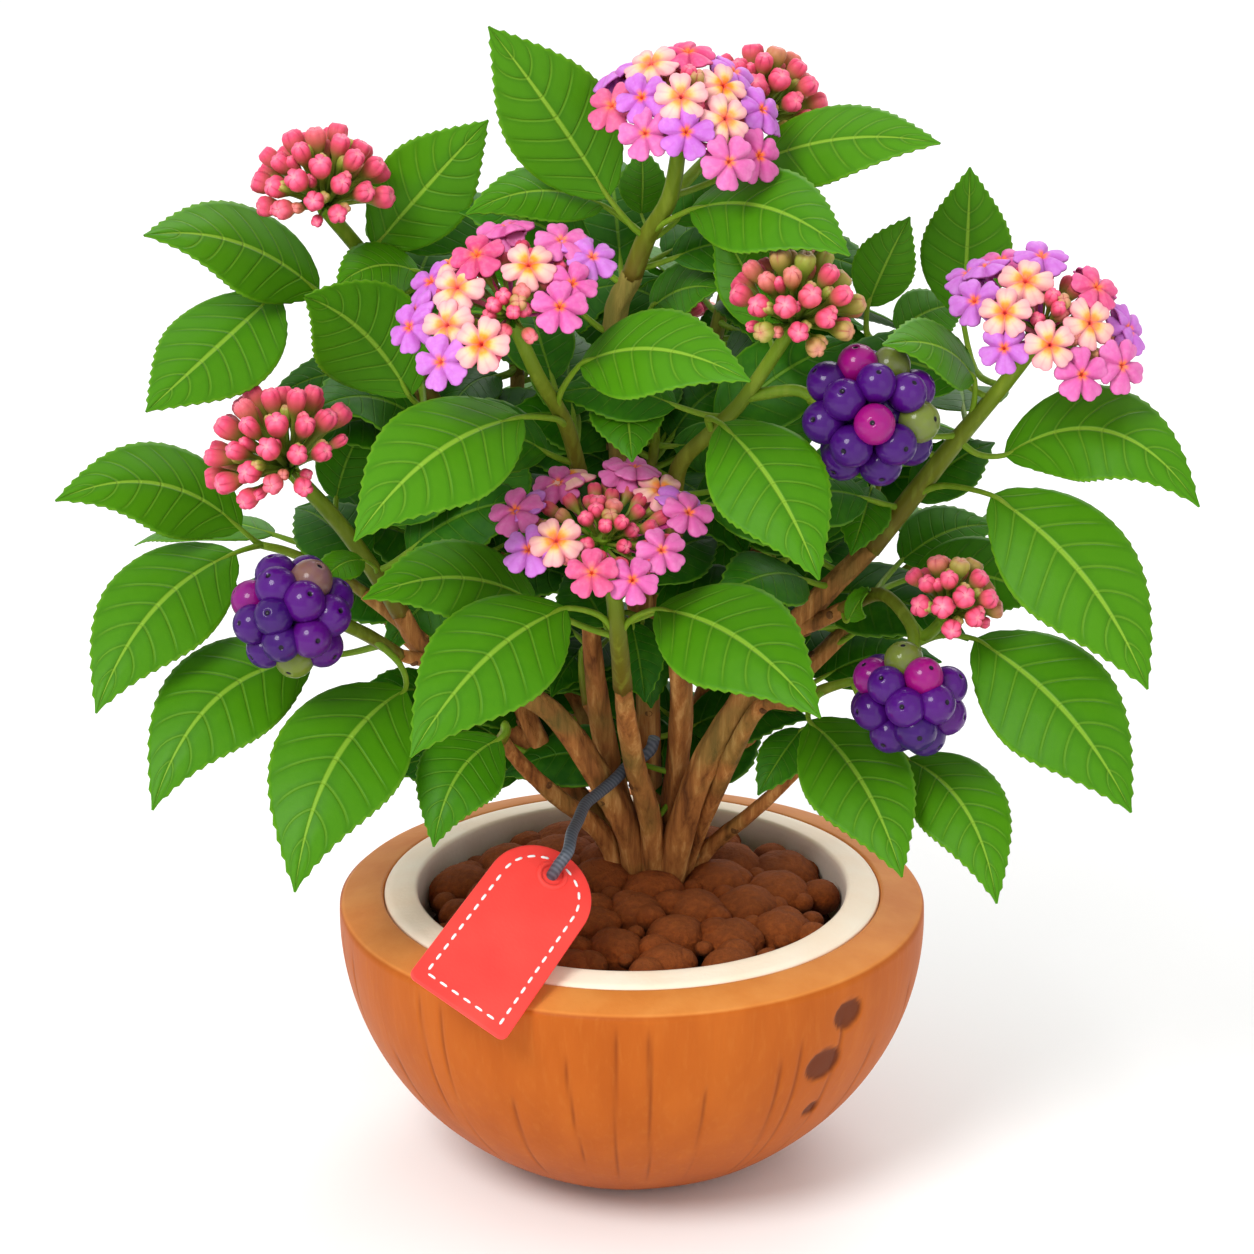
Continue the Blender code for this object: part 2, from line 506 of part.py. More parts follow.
def soil():
    """The clods' relief on top with a plain hole for the collar, and the bowl's inside below."""
    spread = clods()
    radius = BOWL_RADIUS - GAP
    edge_radius, edge_height = arc_profile(radius, BOWL_TOP, [SOIL_EDGE_ANGLE])[0]
    wall = [Vector((edge_radius * math.cos(2 * math.pi * side / POT_SIDES),
                    edge_radius * math.sin(2 * math.pi * side / POT_SIDES))) for side in range(POT_SIDES)]
    hole = [point.to_2d() for point in collar_ring(0, GAP + 0.1)]
    kept = wall + hole
    for cx, cy, size in spread:
        middle = Vector((cx, cy))
        turns = [2 * math.pi * corner / 5 for corner in range(5)]
        ring = [middle + Vector((math.cos(turn), math.sin(turn))) * 0.8 * size for turn in turns]
        for point in [middle, *ring]:
            from_collar = math.hypot((point.x - COLLAR_MIDDLE[0]) / COLLAR_HALF[0],
                                     (point.y - COLLAR_MIDDLE[1]) / COLLAR_HALF[1])
            clear = point.length < edge_radius - SOIL_MARGIN and from_collar > 1.15
            if clear and all((point - other).length > SOIL_SPACING for other in kept):
                kept.append(point)
    edges = [(side, (side + 1) % POT_SIDES) for side in range(POT_SIDES)]
    edges += [(POT_SIDES + side, POT_SIDES + (side + 1) % COLLAR_SIDES) for side in range(COLLAR_SIDES)]
    flat, _, triangles, _, _, _ = delaunay_2d_cdt(kept, edges, [], 1, 1e-6)
    points = []
    for index, point in enumerate(flat):
        height = edge_height if index < POT_SIDES else soil_height(point.x, point.y, spread)
        points.append(Vector((point.x, point.y, min(height, COLLAR_TOP + 2.0))))
    holes = set(range(POT_SIDES, POT_SIDES + COLLAR_SIDES))
    faces = [tuple(triangle) for triangle in triangles if not set(triangle) <= holes]
    floor = list(range(len(points), len(points) + COLLAR_SIDES))
    points += [Vector((*point, COLLAR_BOTTOM - GAP)) for point in hole]
    for side in range(COLLAR_SIDES):
        after = (side + 1) % COLLAR_SIDES
        faces.append((POT_SIDES + side, POT_SIDES + after, floor[after], floor[side]))
    faces.append(tuple(floor))
    above = list(range(POT_SIDES))
    for angle in reversed(BOWL_STEPS[:-1]):
        wide, height = arc_profile(radius, BOWL_TOP, [angle])[0]
        below = list(range(len(points), len(points) + POT_SIDES))
        points += [Vector((*(point * wide / edge_radius), height)) for point in wall]
        faces += [(above[side], above[side - 1], below[side - 1], below[side]) for side in range(POT_SIDES)]
        above = below
    points.append(Vector((0, 0, BOWL_TOP - radius)))
    faces += [(above[side], above[side - 1], len(points) - 1) for side in range(POT_SIDES)]
    return points, faces


def collar_ring(height, extra=0.0):
    turns = [2 * math.pi * side / COLLAR_SIDES for side in range(COLLAR_SIDES)]
    return [Vector((COLLAR_MIDDLE[0] + (COLLAR_HALF[0] + extra) * math.cos(turn),
                    COLLAR_MIDDLE[1] + (COLLAR_HALF[1] + extra) * math.sin(turn), height)) for turn in turns]


def root_collar():
    """The woody block that fills the hole in the soil, and that every branch grows from."""
    points, faces = rings_solid([collar_ring(COLLAR_BOTTOM), collar_ring(COLLAR_TOP - 4)])
    faces.pop()
    top = len(points)
    points.append(Vector((*COLLAR_MIDDLE, COLLAR_TOP)))
    ring = top - COLLAR_SIDES
    faces += [(ring + side, ring + (side + 1) % COLLAR_SIDES, top) for side in range(COLLAR_SIDES)]
    return points, faces


def shoot_points(name):
    """A shoot's stem: it starts a gap beyond its branch's end and runs through its own points."""
    wood_end = Vector(WOOD[name][0][-1])
    stem = [Vector(point) for point in SHOOTS[name]["stem"]]
    return [wood_end + (stem[0] - wood_end).normalized() * GAP, *stem]


def wood_solids():
    solids = [root_collar()]
    for name, (points, start_radius, end_radius) in WOOD.items():
        stem = shoot_points(name)
        sides = 5 if start_radius > 2.0 else 4
        solids.append(tube(points, start_radius, end_radius, sides, stem[1] - stem[0]))
    return solids


def width_share(place):
    """How much of its full width a leaf has at a place from 0 at its base to 1 at its tip."""
    wave = math.sin(math.pi * min(max(place, 0.0), 1.0) ** 0.8)
    return max(wave, 0.0) ** (0.8 if place < 0.42 else 1.15)


def leaf_control(base, tip, bowed):
    """The control point of a leaf's midrib: it bows up and a little outwards, most where it lies level."""
    middle, chord = (base + tip) / 2, (tip - base).normalized()
    hint = Vector((middle.x, middle.y, 0)).normalized() * LEAF_OUTWARD + Vector((0, 0, 1))
    bow = (hint - chord * hint.dot(chord)).normalized()
    return middle + bow * (tip - base).length * LEAF_ARCH * bowed * math.sqrt(1 - chord.z ** 2)


def leaf_frame(base, tip, face, place, bowed=1.0):
    """Point, side and normal of a leaf's midrib at a place from its base, 0, to its tip, 1."""
    control = leaf_control(base, tip, bowed)
    point = base * (1 - place) ** 2 + control * (2 * place * (1 - place)) + tip * place ** 2
    way = ((control - base) * (1 - place) + (tip - control) * place).normalized()
    side = way.cross(face).normalized()
    return point, side, side.cross(way).normalized()


def tooth_places(length):
    """Places along the edge with their share of the width: a tooth's point, then its notch."""
    count = 4 if length > LONG_LEAF else 3 if length > SHORT_LEAF else 2
    step = TEETH_SPAN / count
    places = [(0.1, 1.0)]
    for number in range(count):
        tooth = TEETH_START + step * (number + TOOTH_LEAN)
        places.append((tooth, TOOTH_SHARE))
        if number < count - 1:
            places.append((tooth + 0.2 * step, NOTCH_SHARE))
    return places


def stalk_rings(root, base, side, normal):
    """Place, point, side and normal along a stalk: its root, a bend if it turns sharply, its end."""
    way = normal.cross(side)
    straight = (base - root).normalized()
    if straight.dot(way) > SHARP_TURN:
        stations = [(-1.0, root, straight)]
    else:
        control = base - way * (base - root).length / 2
        stations = [(-1.0, root, (control - root).normalized()),
                    (-0.5, (root + control * 2 + base) / 4, straight)]
    rings = []
    for place, point, direction in stations:
        turn = way.rotation_difference(direction)
        rings.append((place, point, turn @ side, turn @ normal))
    return rings + [(0.0, base, side, normal)]


def leaf(root, base, tip, width, face, stalk=(STALK_HALF_WIDTH, STALK_HALF_THICKNESS),
         half_thickness=LEAF_THICKNESS / 2, margin=0.0, bowed=1.0):
    """A leaf and its stalk as one closed solid, its edge saw-toothed."""
    root, base, tip, face = Vector(root), Vector(base), Vector(tip), Vector(face).normalized()
    length = (tip - base).length
    middle, edge = [], []
    for place, point, side, normal in stalk_rings(root, *leaf_frame(base, tip, face, 0.0, bowed)):
        middle.append((place, point, normal, stalk[1]))
        edge.append((place, point, side, normal, stalk[0], 0.0, stalk[1]))
    for place in (0.33, 0.68):
        point, _, normal = leaf_frame(base, tip, face, place, bowed)
        middle.append((place, point, normal, half_thickness))
    for place, share in tooth_places(length):
        point, side, normal = leaf_frame(base, tip, face, place, bowed)
        half = width / 2 * width_share(place) * share + margin
        edge.append((place, point, side, normal, half, LEAF_FOLD * half, half_thickness))
    points, faces = [], []
    spine = []
    for _, point, normal, thick in middle:
        spine.append((len(points), len(points) + 1))
        points += [point + normal * thick, point - normal * thick]
    point, side, normal = leaf_frame(base, tip, face, 1.0, bowed)
    tip_pair = (len(points), len(points) + 1)
    points += [point + normal * half_thickness, point - normal * half_thickness]
    spine.append(tip_pair)
    spine_places = [entry[0] for entry in middle] + [1.0]
    edge_places = [entry[0] for entry in edge] + [1.0]
    starts = []
    for sign in (-1, 1):
        rim = []
        for _, point, side, normal, half, drop_by, thick in edge:
            at = point + side * (sign * half) - normal * drop_by
            rim.append((len(points), len(points) + 1))
            points += [at + normal * thick, at - normal * thick]
        rim.append(tip_pair)
        starts.append(rim[0])
        inner, outer = 0, 0
        while inner < len(spine) - 1 or outer < len(rim) - 1:
            step_outer = inner == len(spine) - 1 or (
                outer < len(rim) - 1 and edge_places[outer + 1] <= spine_places[inner + 1])
            for layer in (0, 1):
                corner = rim[outer + 1] if step_outer else spine[inner + 1]
                triangle = (spine[inner][layer], rim[outer][layer], corner[layer])
                if len(set(triangle)) == 3:
                    faces.append(triangle)
            if step_outer:
                outer += 1
            else:
                inner += 1
        for near, far in zip(rim, rim[1:]):
            faces += [(near[0], near[1], far[1]), (near[0], far[1], far[0])]
    left, right = starts
    faces.append((left[0], spine[0][0], right[0], right[1], spine[0][1], left[1]))
    return points, faces


def bare_blade(base, tip, width, face, half_thickness=LEAF_THICKNESS / 2, margin=0.0, bowed=1.0):
    """A leaf without its stalk, to keep a shoot's own leaves apart."""
    root = base - (tip - base) * 0.02
    return leaf(root, base, tip, width, face, half_thickness=half_thickness, margin=margin, bowed=bowed)


def back_leaves(stem):
    """Three leaves on a shoot at the back: an opposite pair, and one that leans outwards above it."""
    outward = Vector((stem[-1].x, stem[-1].y, 0)).normalized()
    across = Vector((-outward.y, outward.x, 0))
    face = outward * 0.5 + Vector((0, 0, 0.86))
    leaves = []
    for index, spread, rise in ((1, across, 0.25), (1, -across, 0.25), (2, outward * 0.6, 0.15)):
        way = (spread + outward * 0.45 + Vector((0, 0, rise))).normalized()
        base = stem[index] + way * BACK_STALK
        tip = base + way * BACK_LEAF_LENGTH - Vector((0, 0, BACK_LEAF_FALL))
        leaves.append((index, base, tip, BACK_LEAF_WIDTH, face))
    return leaves


def dome_lean(offset, axis, radius, height):
    """The way a head's dome faces at an offset from the middle of its base."""
    along = axis * offset.dot(axis)
    return (axis + (offset - along) * (2 * height / radius ** 2)).normalized()


def seen_on_dome(across, up, axis, radius, height):
    """The offset from a head's middle of the point on its dome that the front view shows there."""
    seen = Vector((across, 0, 0)) + VIEW_UP * up
    bend, facing, lift = height / radius ** 2, axis.dot(VIEW_OUT), axis.dot(seen)
    square = bend * (1 - facing ** 2)
    linear = facing * (1 - 2 * bend * lift)
    rest = bend * (seen.length_squared - lift ** 2) + lift - height
    depth = (math.sqrt(max(linear ** 2 - 4 * square * rest, 0.0)) - linear) / (2 * square)
    return seen + VIEW_OUT * depth


def on_dome(axis, polar, turn):
    first, second = square_to(axis)
    spoke = first * math.cos(turn) + second * math.sin(turn)
    return (axis * math.cos(polar) + spoke * math.sin(polar)).normalized()


def star_solid(points, ways):
    """A closed solid through points, which are joined as their ways, unit vectors, lie on a ball."""
    shape = bmesh.new()
    corners = {shape.verts.new(way): point for point, way in zip(points, ways)}
    bmesh.ops.convex_hull(shape, input=shape.verts)
    shape.verts.index_update()
    shape.verts.ensure_lookup_table()
    order = {vertex.index: corners[vertex] for vertex in shape.verts}
    faces = [tuple(vertex.index for vertex in face.verts) for face in shape.faces]
    shape.free()
    return [order[index] for index in range(len(order))], faces


def ring_round(centre, way, reach, radius, count, start=0.0):
    """Points of a circle round a way from the centre, at a reach along it."""
    first, second = square_to(way)
    middle = centre + way * reach
    turns = [start + 2 * math.pi * side / count for side in range(count)]
    return [middle + (first * math.cos(turn) + second * math.sin(turn)) * radius for turn in turns]


def dome_spots(count, widest):
    """Evenly spread (polar angle, turn) pairs over a dome, from the crown outwards."""
    spots = []
    for number in range(count):
        share = (number + 0.5) / count
        polar = math.acos(1 - share * (1 - math.cos(widest)))
        spots.append((polar, number * GOLDEN_ANGLE))
    return spots


def hidden_florets(axis, radius, count):
    """Offsets of the florets that the front view hides: round the back, or all round on a back head."""
    behind = (VIEW_OUT - axis * VIEW_OUT.dot(axis)).normalized() * -1
    aside = axis.cross(behind)
    offsets = []
    for number in range(count):
        turn = (number + 0.5 - count / 2) * (BACK_TURN if count == BACK_FLORETS else GOLDEN_ANGLE)
        reach = radius * (BACK_REACH if count == BACK_FLORETS else math.sqrt((number + 1) / count))
        offsets.append((behind * math.cos(turn) + aside * math.sin(turn)) * reach)
    return offsets


def floret_points(middle, way, spin, others):
    """An open floret's throat, five lobes and the dips outside them, less what others of its head cover."""
    points, dips = [middle - way * FLORET_THROAT], []
    for corner, edge in enumerate(ring_round(middle, way, 0.0, FLORET_RADIUS, 10, spin)):
        notch = corner % 2 == 1
        place = middle + (edge - middle) * FLORET_NOTCH if notch else edge
        if all((place - other).length > FLORET_COVER * (place - middle).length for other in others):
            points.append(place)
            if notch:
                dips.append(edge - way * FLORET_DIP)
    return points, [dip for dip in dips if all((dip - other).length > DIP_COVER for other in others)]


def head_way(point, centre, axis, radius):
    """A head's point as a way on a ball, its dome spread over most of it and its underside below."""
    seen = point - centre + axis * HEAD_DEEP * radius
    aside = (seen - axis * seen.dot(axis)).normalized()
    polar = HEAD_RIM_POLAR * math.tanh(seen.angle(axis) * HEAD_SPREAD / HEAD_RIM_POLAR)
    return axis * math.cos(polar) + aside * math.sin(polar)


def open_head(centre, axis, radius, height, florets, bud_middle, bud_reach, buds):
    """A head in bloom as one raised form: florets over a dome, with buds between them."""
    centre, axis = Vector(centre), Vector(axis).normalized()
    offsets = [seen_on_dome(across, up, axis, radius, height) for across, up in florets]
    for flat in hidden_florets(axis, radius, BACK_FLORETS if florets else ROUND_FLORETS):
        offsets.append(flat + axis * height * (1 - flat.length_squared / radius ** 2))
    middles = [centre + offset for offset in offsets]
    points, hollows = [], []
    for number, offset in enumerate(offsets):
        facing = FLORET_FACING if number < len(florets) else 0.0
        way = (dome_lean(offset, axis, radius, height) + VIEW_OUT * facing).normalized()
        others = middles[:number] + middles[number + 1:]
        shape, dips = floret_points(centre + offset, way, 0.7 * number, others)
        points += shape
        hollows += dips
    for dip in hollows:
        if all((dip - point).length > DIP_SPACING for point in points):
            points.append(dip)
    for number in range(buds):
        turn, reach = number * GOLDEN_ANGLE, bud_reach * math.sqrt((number + 0.5) / buds)
        across, up = bud_middle[0] + reach * math.cos(turn), bud_middle[1] + 0.7 * reach * math.sin(turn)
        tip = centre + seen_on_dome(across, up, axis, radius, height) + axis
        sides = ring_round(tip, axis, -YOUNG_BUD_DEPTH, YOUNG_BUD_RADIUS, 4, turn)
        points += [point for point in [tip] + sides
                   if all((point - other).length > YOUNG_BUD_SPACING for other in points)]
    ways = [head_way(point, centre, axis, radius) for point in points]
    under = ((-HEAD_HOLLOW, 0.5 * radius, HOLLOW_POLAR), (-HEAD_SEAT, SEAT_RADIUS, SEAT_POLAR))
    for reach, ring, polar in under:
        around = ring_round(centre, axis, reach, ring, 6)
        points += around
        for point in around:
            aside = (point - centre - axis * reach).normalized()
            ways.append(axis * math.cos(polar) + aside * math.sin(polar))
    return [star_solid(points, ways)]


def bud_head(centre, axis, radius, buds):
    """A young head as one raised form: closed buds close together over a cone of short stalks."""
    centre, axis = Vector(centre), Vector(axis).normalized()
    points = ring_round(centre, axis, -BUD_HEAD_SEAT, SEAT_RADIUS, 5)
    points += ring_round(centre, axis, 0.0, BUD_HEAD_FOOT * radius, 8, 0.3)
    for polar, turn in dome_spots(buds, BUD_HEAD_WIDEST):
        way = on_dome(axis, polar, turn)
        points.append(centre + way * radius)
        points += ring_round(centre, way, radius - BUD_CROWN, BUD_RADIUS, 5, turn)
        points += ring_round(centre, way, BUD_START * radius, 0.8 * BUD_RADIUS, 5, turn)
    return [star_solid(points, [(point - centre).normalized() for point in points])]


def berry_bunch(centre, radius, count, stalk):
    """Round berries packed on a ball as one raised form, with a flat stub where the stalk comes in."""
    centre, stalk = Vector(centre), Vector(stalk).normalized()
    reach = radius - BERRY_RADIUS
    points = ring_round(centre, stalk, radius - BERRY_SEAT, BERRY_STUB, 4)
    points += ring_round(centre, stalk, 0.75 * reach, 2 * SEAT_RADIUS, 6)
    for number in range(count):
        share = (number + 0.5) / count
        way = on_dome(stalk, math.acos(-1 + share * BERRY_STALK_SIDE), number * GOLDEN_ANGLE)
        points.append(centre + way * radius)
        for lift, corners in BERRY_RINGS:
            angle = math.radians(lift)
            points += ring_round(centre, way, reach + BERRY_RADIUS * math.sin(angle),
                                 0.98 * BERRY_RADIUS * math.cos(angle), corners, number)
    kept = []
    for point in points:
        way = (point - centre).normalized()
        if all(way.angle((other - centre).normalized()) > BERRY_POINTS_APART for other in kept):
            kept.append(point)
    return [star_solid(kept, [(point - centre).normalized() for point in kept])]


def tag_frame():
    """The tag's axes: along it to its square end, across it, and out of its face."""
    side = (TAG_SIDE_HINT - TAG_WAY * TAG_SIDE_HINT.dot(TAG_WAY)).normalized()
    return TAG_WAY, side, TAG_WAY.cross(side).normalized()


def tag_outline():
    """The tag's edge as (along, across) from its hole: an arched end and two rounded corners."""
    arch_middle = TAG_ARCH_RADIUS - TAG_END_TO_HOLE
    outline = [(arch_middle - TAG_ARCH_RADIUS * math.sin(turn), -TAG_ARCH_RADIUS * math.cos(turn))
               for turn in (math.pi * step / 12 for step in range(13))]
    foot, half, corner = TAG_LENGTH - TAG_END_TO_HOLE, TAG_WIDTH / 2, TAG_CORNER
    for sign in (1, -1):
        turns = [math.pi / 6 * step for step in range(4)]
        arc = [(foot - corner + corner * math.sin(turn), sign * (half - corner + corner * math.cos(turn)))
               for turn in turns]
        outline += arc if sign == 1 else list(reversed(arc))
    return outline


def tag():
    """A flat plate with a round hole near its arched end."""
    along, across, out = tag_frame()
    outline = tag_outline()
    hole = [(TAG_HOLE_RADIUS * math.cos(turn), TAG_HOLE_RADIUS * math.sin(turn))
            for turn in (2 * math.pi * step / 12 for step in range(12))]
    count, rim = len(outline), len(hole)
    plan = [Vector(point) for point in outline + hole]
    edges = [(index, (index + 1) % count) for index in range(count)]
    edges += [(count + index, count + (index + 1) % rim) for index in range(rim)]
    _, _, triangles, _, _, _ = delaunay_2d_cdt(plan, edges, [], 0, 1e-6)
    kept = [face for face in triangles
            if not all(index >= count for index in face) and inside_plate(face, plan, outline)]
    points = []
    for height in (TAG_THICKNESS / 2, -TAG_THICKNESS / 2):
        points += [TAG_HOLE + along * point.x + across * point.y + out * height for point in plan]
    total = len(plan)
    faces = [tuple(face) for face in kept]
    faces += [tuple(total + index for index in reversed(face)) for face in kept]
    faces += [(near, far, total + far, total + near) for near, far in edges]
    return points, faces


def inside_plate(face, plan, outline):
    """Whether a triangle's middle lies within the outline and outside the hole."""
    x = sum(plan[index].x for index in face) / 3
    y = sum(plan[index].y for index in face) / 3
    if math.hypot(x, y) < TAG_HOLE_RADIUS:
        return False
    crossings = 0
    for (ax, ay), (bx, by) in zip(outline, outline[1:] + outline[:1]):
        if (ay > y) != (by > y) and x < ax + (y - ay) / (by - ay) * (bx - ax):
            crossings += 1
    return crossings % 2 == 1


def smooth(points, steps):
    """Points on a smooth curve through a route, the given number of steps to a span."""
    padded = [points[0] * 2 - points[1], *points, points[-1] * 2 - points[-2]]
    curve = []
    for index in range(1, len(padded) - 2):
        before, start, end, after = padded[index - 1:index + 3]
        for step in range(steps):
            share = step / steps
            curve.append(0.5 * (2 * start + (end - before) * share
                                + (2 * before - 5 * start + 4 * end - after) * share ** 2
                                + (3 * start - before - 3 * end + after) * share ** 3))
    curve.append(points[-1])
    return curve


def evenly(curve, spacing):
    """Points at about the given spacing along a finely divided curve, with both its ends."""
    reach = [0.0]
    for near, far in zip(curve, curve[1:]):
        reach.append(reach[-1] + (far - near).length)
    count = round(reach[-1] / spacing)
    picked = [curve[0]]
    for number in range(1, count):
        due = reach[-1] * number / count
        picked.append(next(point for point, so_far in zip(curve, reach) if so_far >= due))
    return picked + [curve[-1]]


def cord_points():
    """The cord from its free end, behind the front stem, to the tag's hole and through it."""
    along, _, out = tag_frame()
    route = [Vector(point) for point in CORD_ROUTE]
    for turn in CORD_TURN_ANGLES:
        angle = math.radians(turn)
        aside, above = CORD_TURN * (1 - math.sin(angle)), CORD_TURN * math.cos(angle)
        route.append(TAG_HOLE - along * aside + out * above)
    route.append(TAG_HOLE - out * (TAG_THICKNESS / 2 - CORD_SINK))
    return evenly(smooth(route, CURVE_STEPS), CORD_SPACING)


def cord_object(finish):
    curve = bpy.data.curves.new("tag_cord", "CURVE")
    curve.dimensions = "3D"
    curve.bevel_depth = CORD_RADIUS * METRES
    curve.bevel_resolution = 2
    curve.use_fill_caps = True
    route = cord_points()
    spline = curve.splines.new("POLY")
    spline.points.add(len(route) - 1)
    for place, point in zip(spline.points, route):
        place.co = (*(point * METRES), 1.0)
    curve.materials.append(finish)
    made = bpy.data.objects.new("tag_cord", curve)
    bpy.context.scene.collection.objects.link(made)


def knot():
    _, _, out = tag_frame()
    down = TAG_THICKNESS / 2 + GAP + KNOT_RADIUS
    profile = [(KNOT_RADIUS * math.cos(math.radians(lift)), KNOT_RADIUS * math.sin(math.radians(lift)))
               for lift in (-90, -45, 0, 45, 90)]
    return turned(profile, 8, TAG_HOLE - out * down, out)


class Clearance:
    """Solids placed so far, each with its box, to test the next one against."""

    def __init__(self):
        self.placed = []

    def add(self, owner, solids):
        points, faces = [], []
        for solid_points, solid_faces in solids:
            start = len(points)
            points += [Vector(point) for point in solid_points]
            faces += [tuple(start + index for index in face) for face in solid_faces]
        low = [min(point[axis] for point in points) for axis in range(3)]
        high = [max(point[axis] for point in points) for axis in range(3)]
        self.placed.append((owner, low, high, BVHTree.FromPolygons(points, faces)))

    def hits(self, solid, passed_over=(), only=None):
        """How many faces of what is placed the solid crosses."""
        points, faces = solid
        low = [min(point[axis] for point in points) for axis in range(3)]
        high = [max(point[axis] for point in points) for axis in range(3)]
        tree = BVHTree.FromPolygons(points, faces)
        total = 0
        for name, other_low, other_high, other in self.placed:
            apart = any(low[axis] > other_high[axis] or high[axis] < other_low[axis] for axis in range(3))
            if not apart and name not in passed_over and (only is None or name == only):
                total += len(tree.overlap(other))
        return total


def shifts():
    """Ways to move a leaf aside, least first: base and tip along its normal, both along its side."""
    choices = []
    for base_move in (0, -3, 3, -6, 6, -9, 9):
        for tip_move in (0, -4, 4, -8, 8, -12, 12, -16):
            for side_move in (0, -4, 4, -8, 8):
                cost = abs(base_move) + abs(tip_move - base_move) * 0.7 + abs(side_move) * 1.2
                choices.append((cost, base_move, tip_move, side_move))
    return sorted(choices)


def along_stem(stem, index):
    """The point on a stem at a whole or part number of its points."""
    whole = min(int(index), len(stem) - 2)
    return stem[whole].lerp(stem[whole + 1], index - whole)


def settle(owner, stem, spec, clearance):
    """A leaf's place, moved aside by the least that keeps it clear of all that is placed."""
    index, base, tip, width, face, bowed = (*spec, 1.0)[:6]
    base, tip, face = Vector(base), Vector(tip), Vector(face).normalized()
    _, side, normal = leaf_frame(base, tip, face, 0.5, bowed)
    best = None
    for _, base_move, tip_move, side_move in shifts():
        new_base = base + normal * base_move + side * side_move
        new_tip = tip + normal * tip_move + side * side_move
        wide = leaf(along_stem(stem, index), new_base, new_tip, width, face, CLEAR_STALK, CLEAR_THICKNESS,
                    CLEAR_MARGIN, bowed)
        bare = bare_blade(new_base, new_tip, width, face, CLEAR_THICKNESS, CLEAR_MARGIN, bowed)
        own = owner + "_blade"
        hits = clearance.hits(wide, (owner, own)) + clearance.hits(bare, only=own)
        if best is None or hits < best[0]:
            best = (hits, new_base, new_tip)
        if hits == 0:
            break
    return index, best[1], best[2], width, face, bowed


def head_solids():
    heads = {name: open_head(**spec) for name, spec in OPEN_HEADS.items()}
    heads.update({name: bud_head(**spec) for name, spec in BUD_HEADS.items()})
    heads.update({name: berry_bunch(**spec) for name, spec in BERRY_BUNCHES.items()})
    return heads


def head_seat(name):
    """Where a stem ends under its head or bunch, a gap short of it, and the way it points."""
    if name in BERRY_BUNCHES:
        spec = BERRY_BUNCHES[name]
        way = -Vector(spec["stalk"]).normalized()
        return Vector(spec["centre"]) - way * (spec["radius"] - BERRY_SEAT + GAP), way
    spec, seat = (OPEN_HEADS[name], HEAD_SEAT) if name in OPEN_HEADS else (BUD_HEADS[name], BUD_HEAD_SEAT)
    way = Vector(spec["axis"]).normalized()
    return Vector(spec["centre"]) - way * (seat + GAP), way


def stem_solids(name):
    """A shoot's stem and twigs, each run up to the head that it carries."""
    stem = shoot_points(name)
    end_radius = WOOD[name][2]
    solids = []
    head = HEAD_OF_STEM.get(name)
    if head:
        seat, way = head_seat(head)
        solids.append(tube([*stem[:-1], seat], end_radius, STALK_UNDER_HEAD, STEM_SIDES, way))
    else:
        solids.append(tube(stem, end_radius, STEM_TIP, STEM_SIDES))
    for index, points in SHOOTS[name].get("twigs", []):
        seat, way = head_seat(HEAD_OF_TWIG[name])
        solids.append(tube([stem[index], *points[:-1], seat], *TWIG_RADII, STEM_SIDES, way))
    return solids


def build():
    green = material("leaf_green", LEAF_GREEN, 0.45)
    bark = material("bark", BARK_BROWN, 0.8)
    clearance = Clearance()
    fixed = {
        "pot_shell": (pot_shell(), material("coconut_shell", SHELL_BROWN, 0.6)),
        "pot_lining": (pot_lining(), material("coconut_flesh", FLESH_CREAM, 0.55)),
        "soil": (soil(), material("soil_brown", SOIL_BROWN, 0.9)),
        "tag": (tag(), material("tag_red", TAG_RED, 0.5)),
        "tag_knot": (knot(), material("knot_grey", CORD_GREY, 0.6)),
    }
    for name, (solid, finish) in fixed.items():
        mesh_object(name, solid, finish)
        clearance.add(name, [solid])
    cord_object(material("cord_grey", CORD_GREY, 0.6))
    clearance.add("tag_cord", [tube(cord_points(), CORD_RADIUS, CORD_RADIUS, 8)])

    wood = wood_solids()
    join_all("woody_stems", wood, bark)
    clearance.add("woody_stems", wood)

    heads = head_solids()
    finishes = {"head": material("bloom_pink", BLOOM_PINK, 0.5), "buds": material("bud_pink", BUD_PINK, 0.5),
                "berries": material("berry_purple", BERRY_PURPLE, 0.2)}
    for name, solids in heads.items():
        join_all(name, solids, finishes[name.split("_")[0]])
        clearance.add(name, solids)
    stems = {name: stem_solids(name) for name in SHOOTS}
    for name, solids in stems.items():
        clearance.add(name, solids)
    for name, spec in SHOOTS.items():
        stem = shoot_points(name)
        planned = back_leaves(stem) if spec.get("rule") else spec["leaves"]
        for plan in planned:
            index, base, tip, width, face, bowed = settle(name, stem, plan, clearance)
            whole = leaf(along_stem(stem, index), base, tip, width, face, bowed=bowed)
            stems[name].append(whole)
            clearance.add(name, [whole])
            clearance.add(name + "_blade", [bare_blade(base, tip, width, face, bowed=bowed)])
    for name, solids in stems.items():
        join_all("shoot_" + name, solids, green)


def main():
    for old in list(bpy.data.objects):
        bpy.data.objects.remove(old)
    build()


main()
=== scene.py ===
import random
from math import acos, copysign, cos, exp, hypot, pi, radians, sin, sqrt

import bmesh
import bpy
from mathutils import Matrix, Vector, noise
from mathutils.bvhtree import BVHTree
from mathutils.geometry import delaunay_2d_cdt
from mathutils.kdtree import KDTree


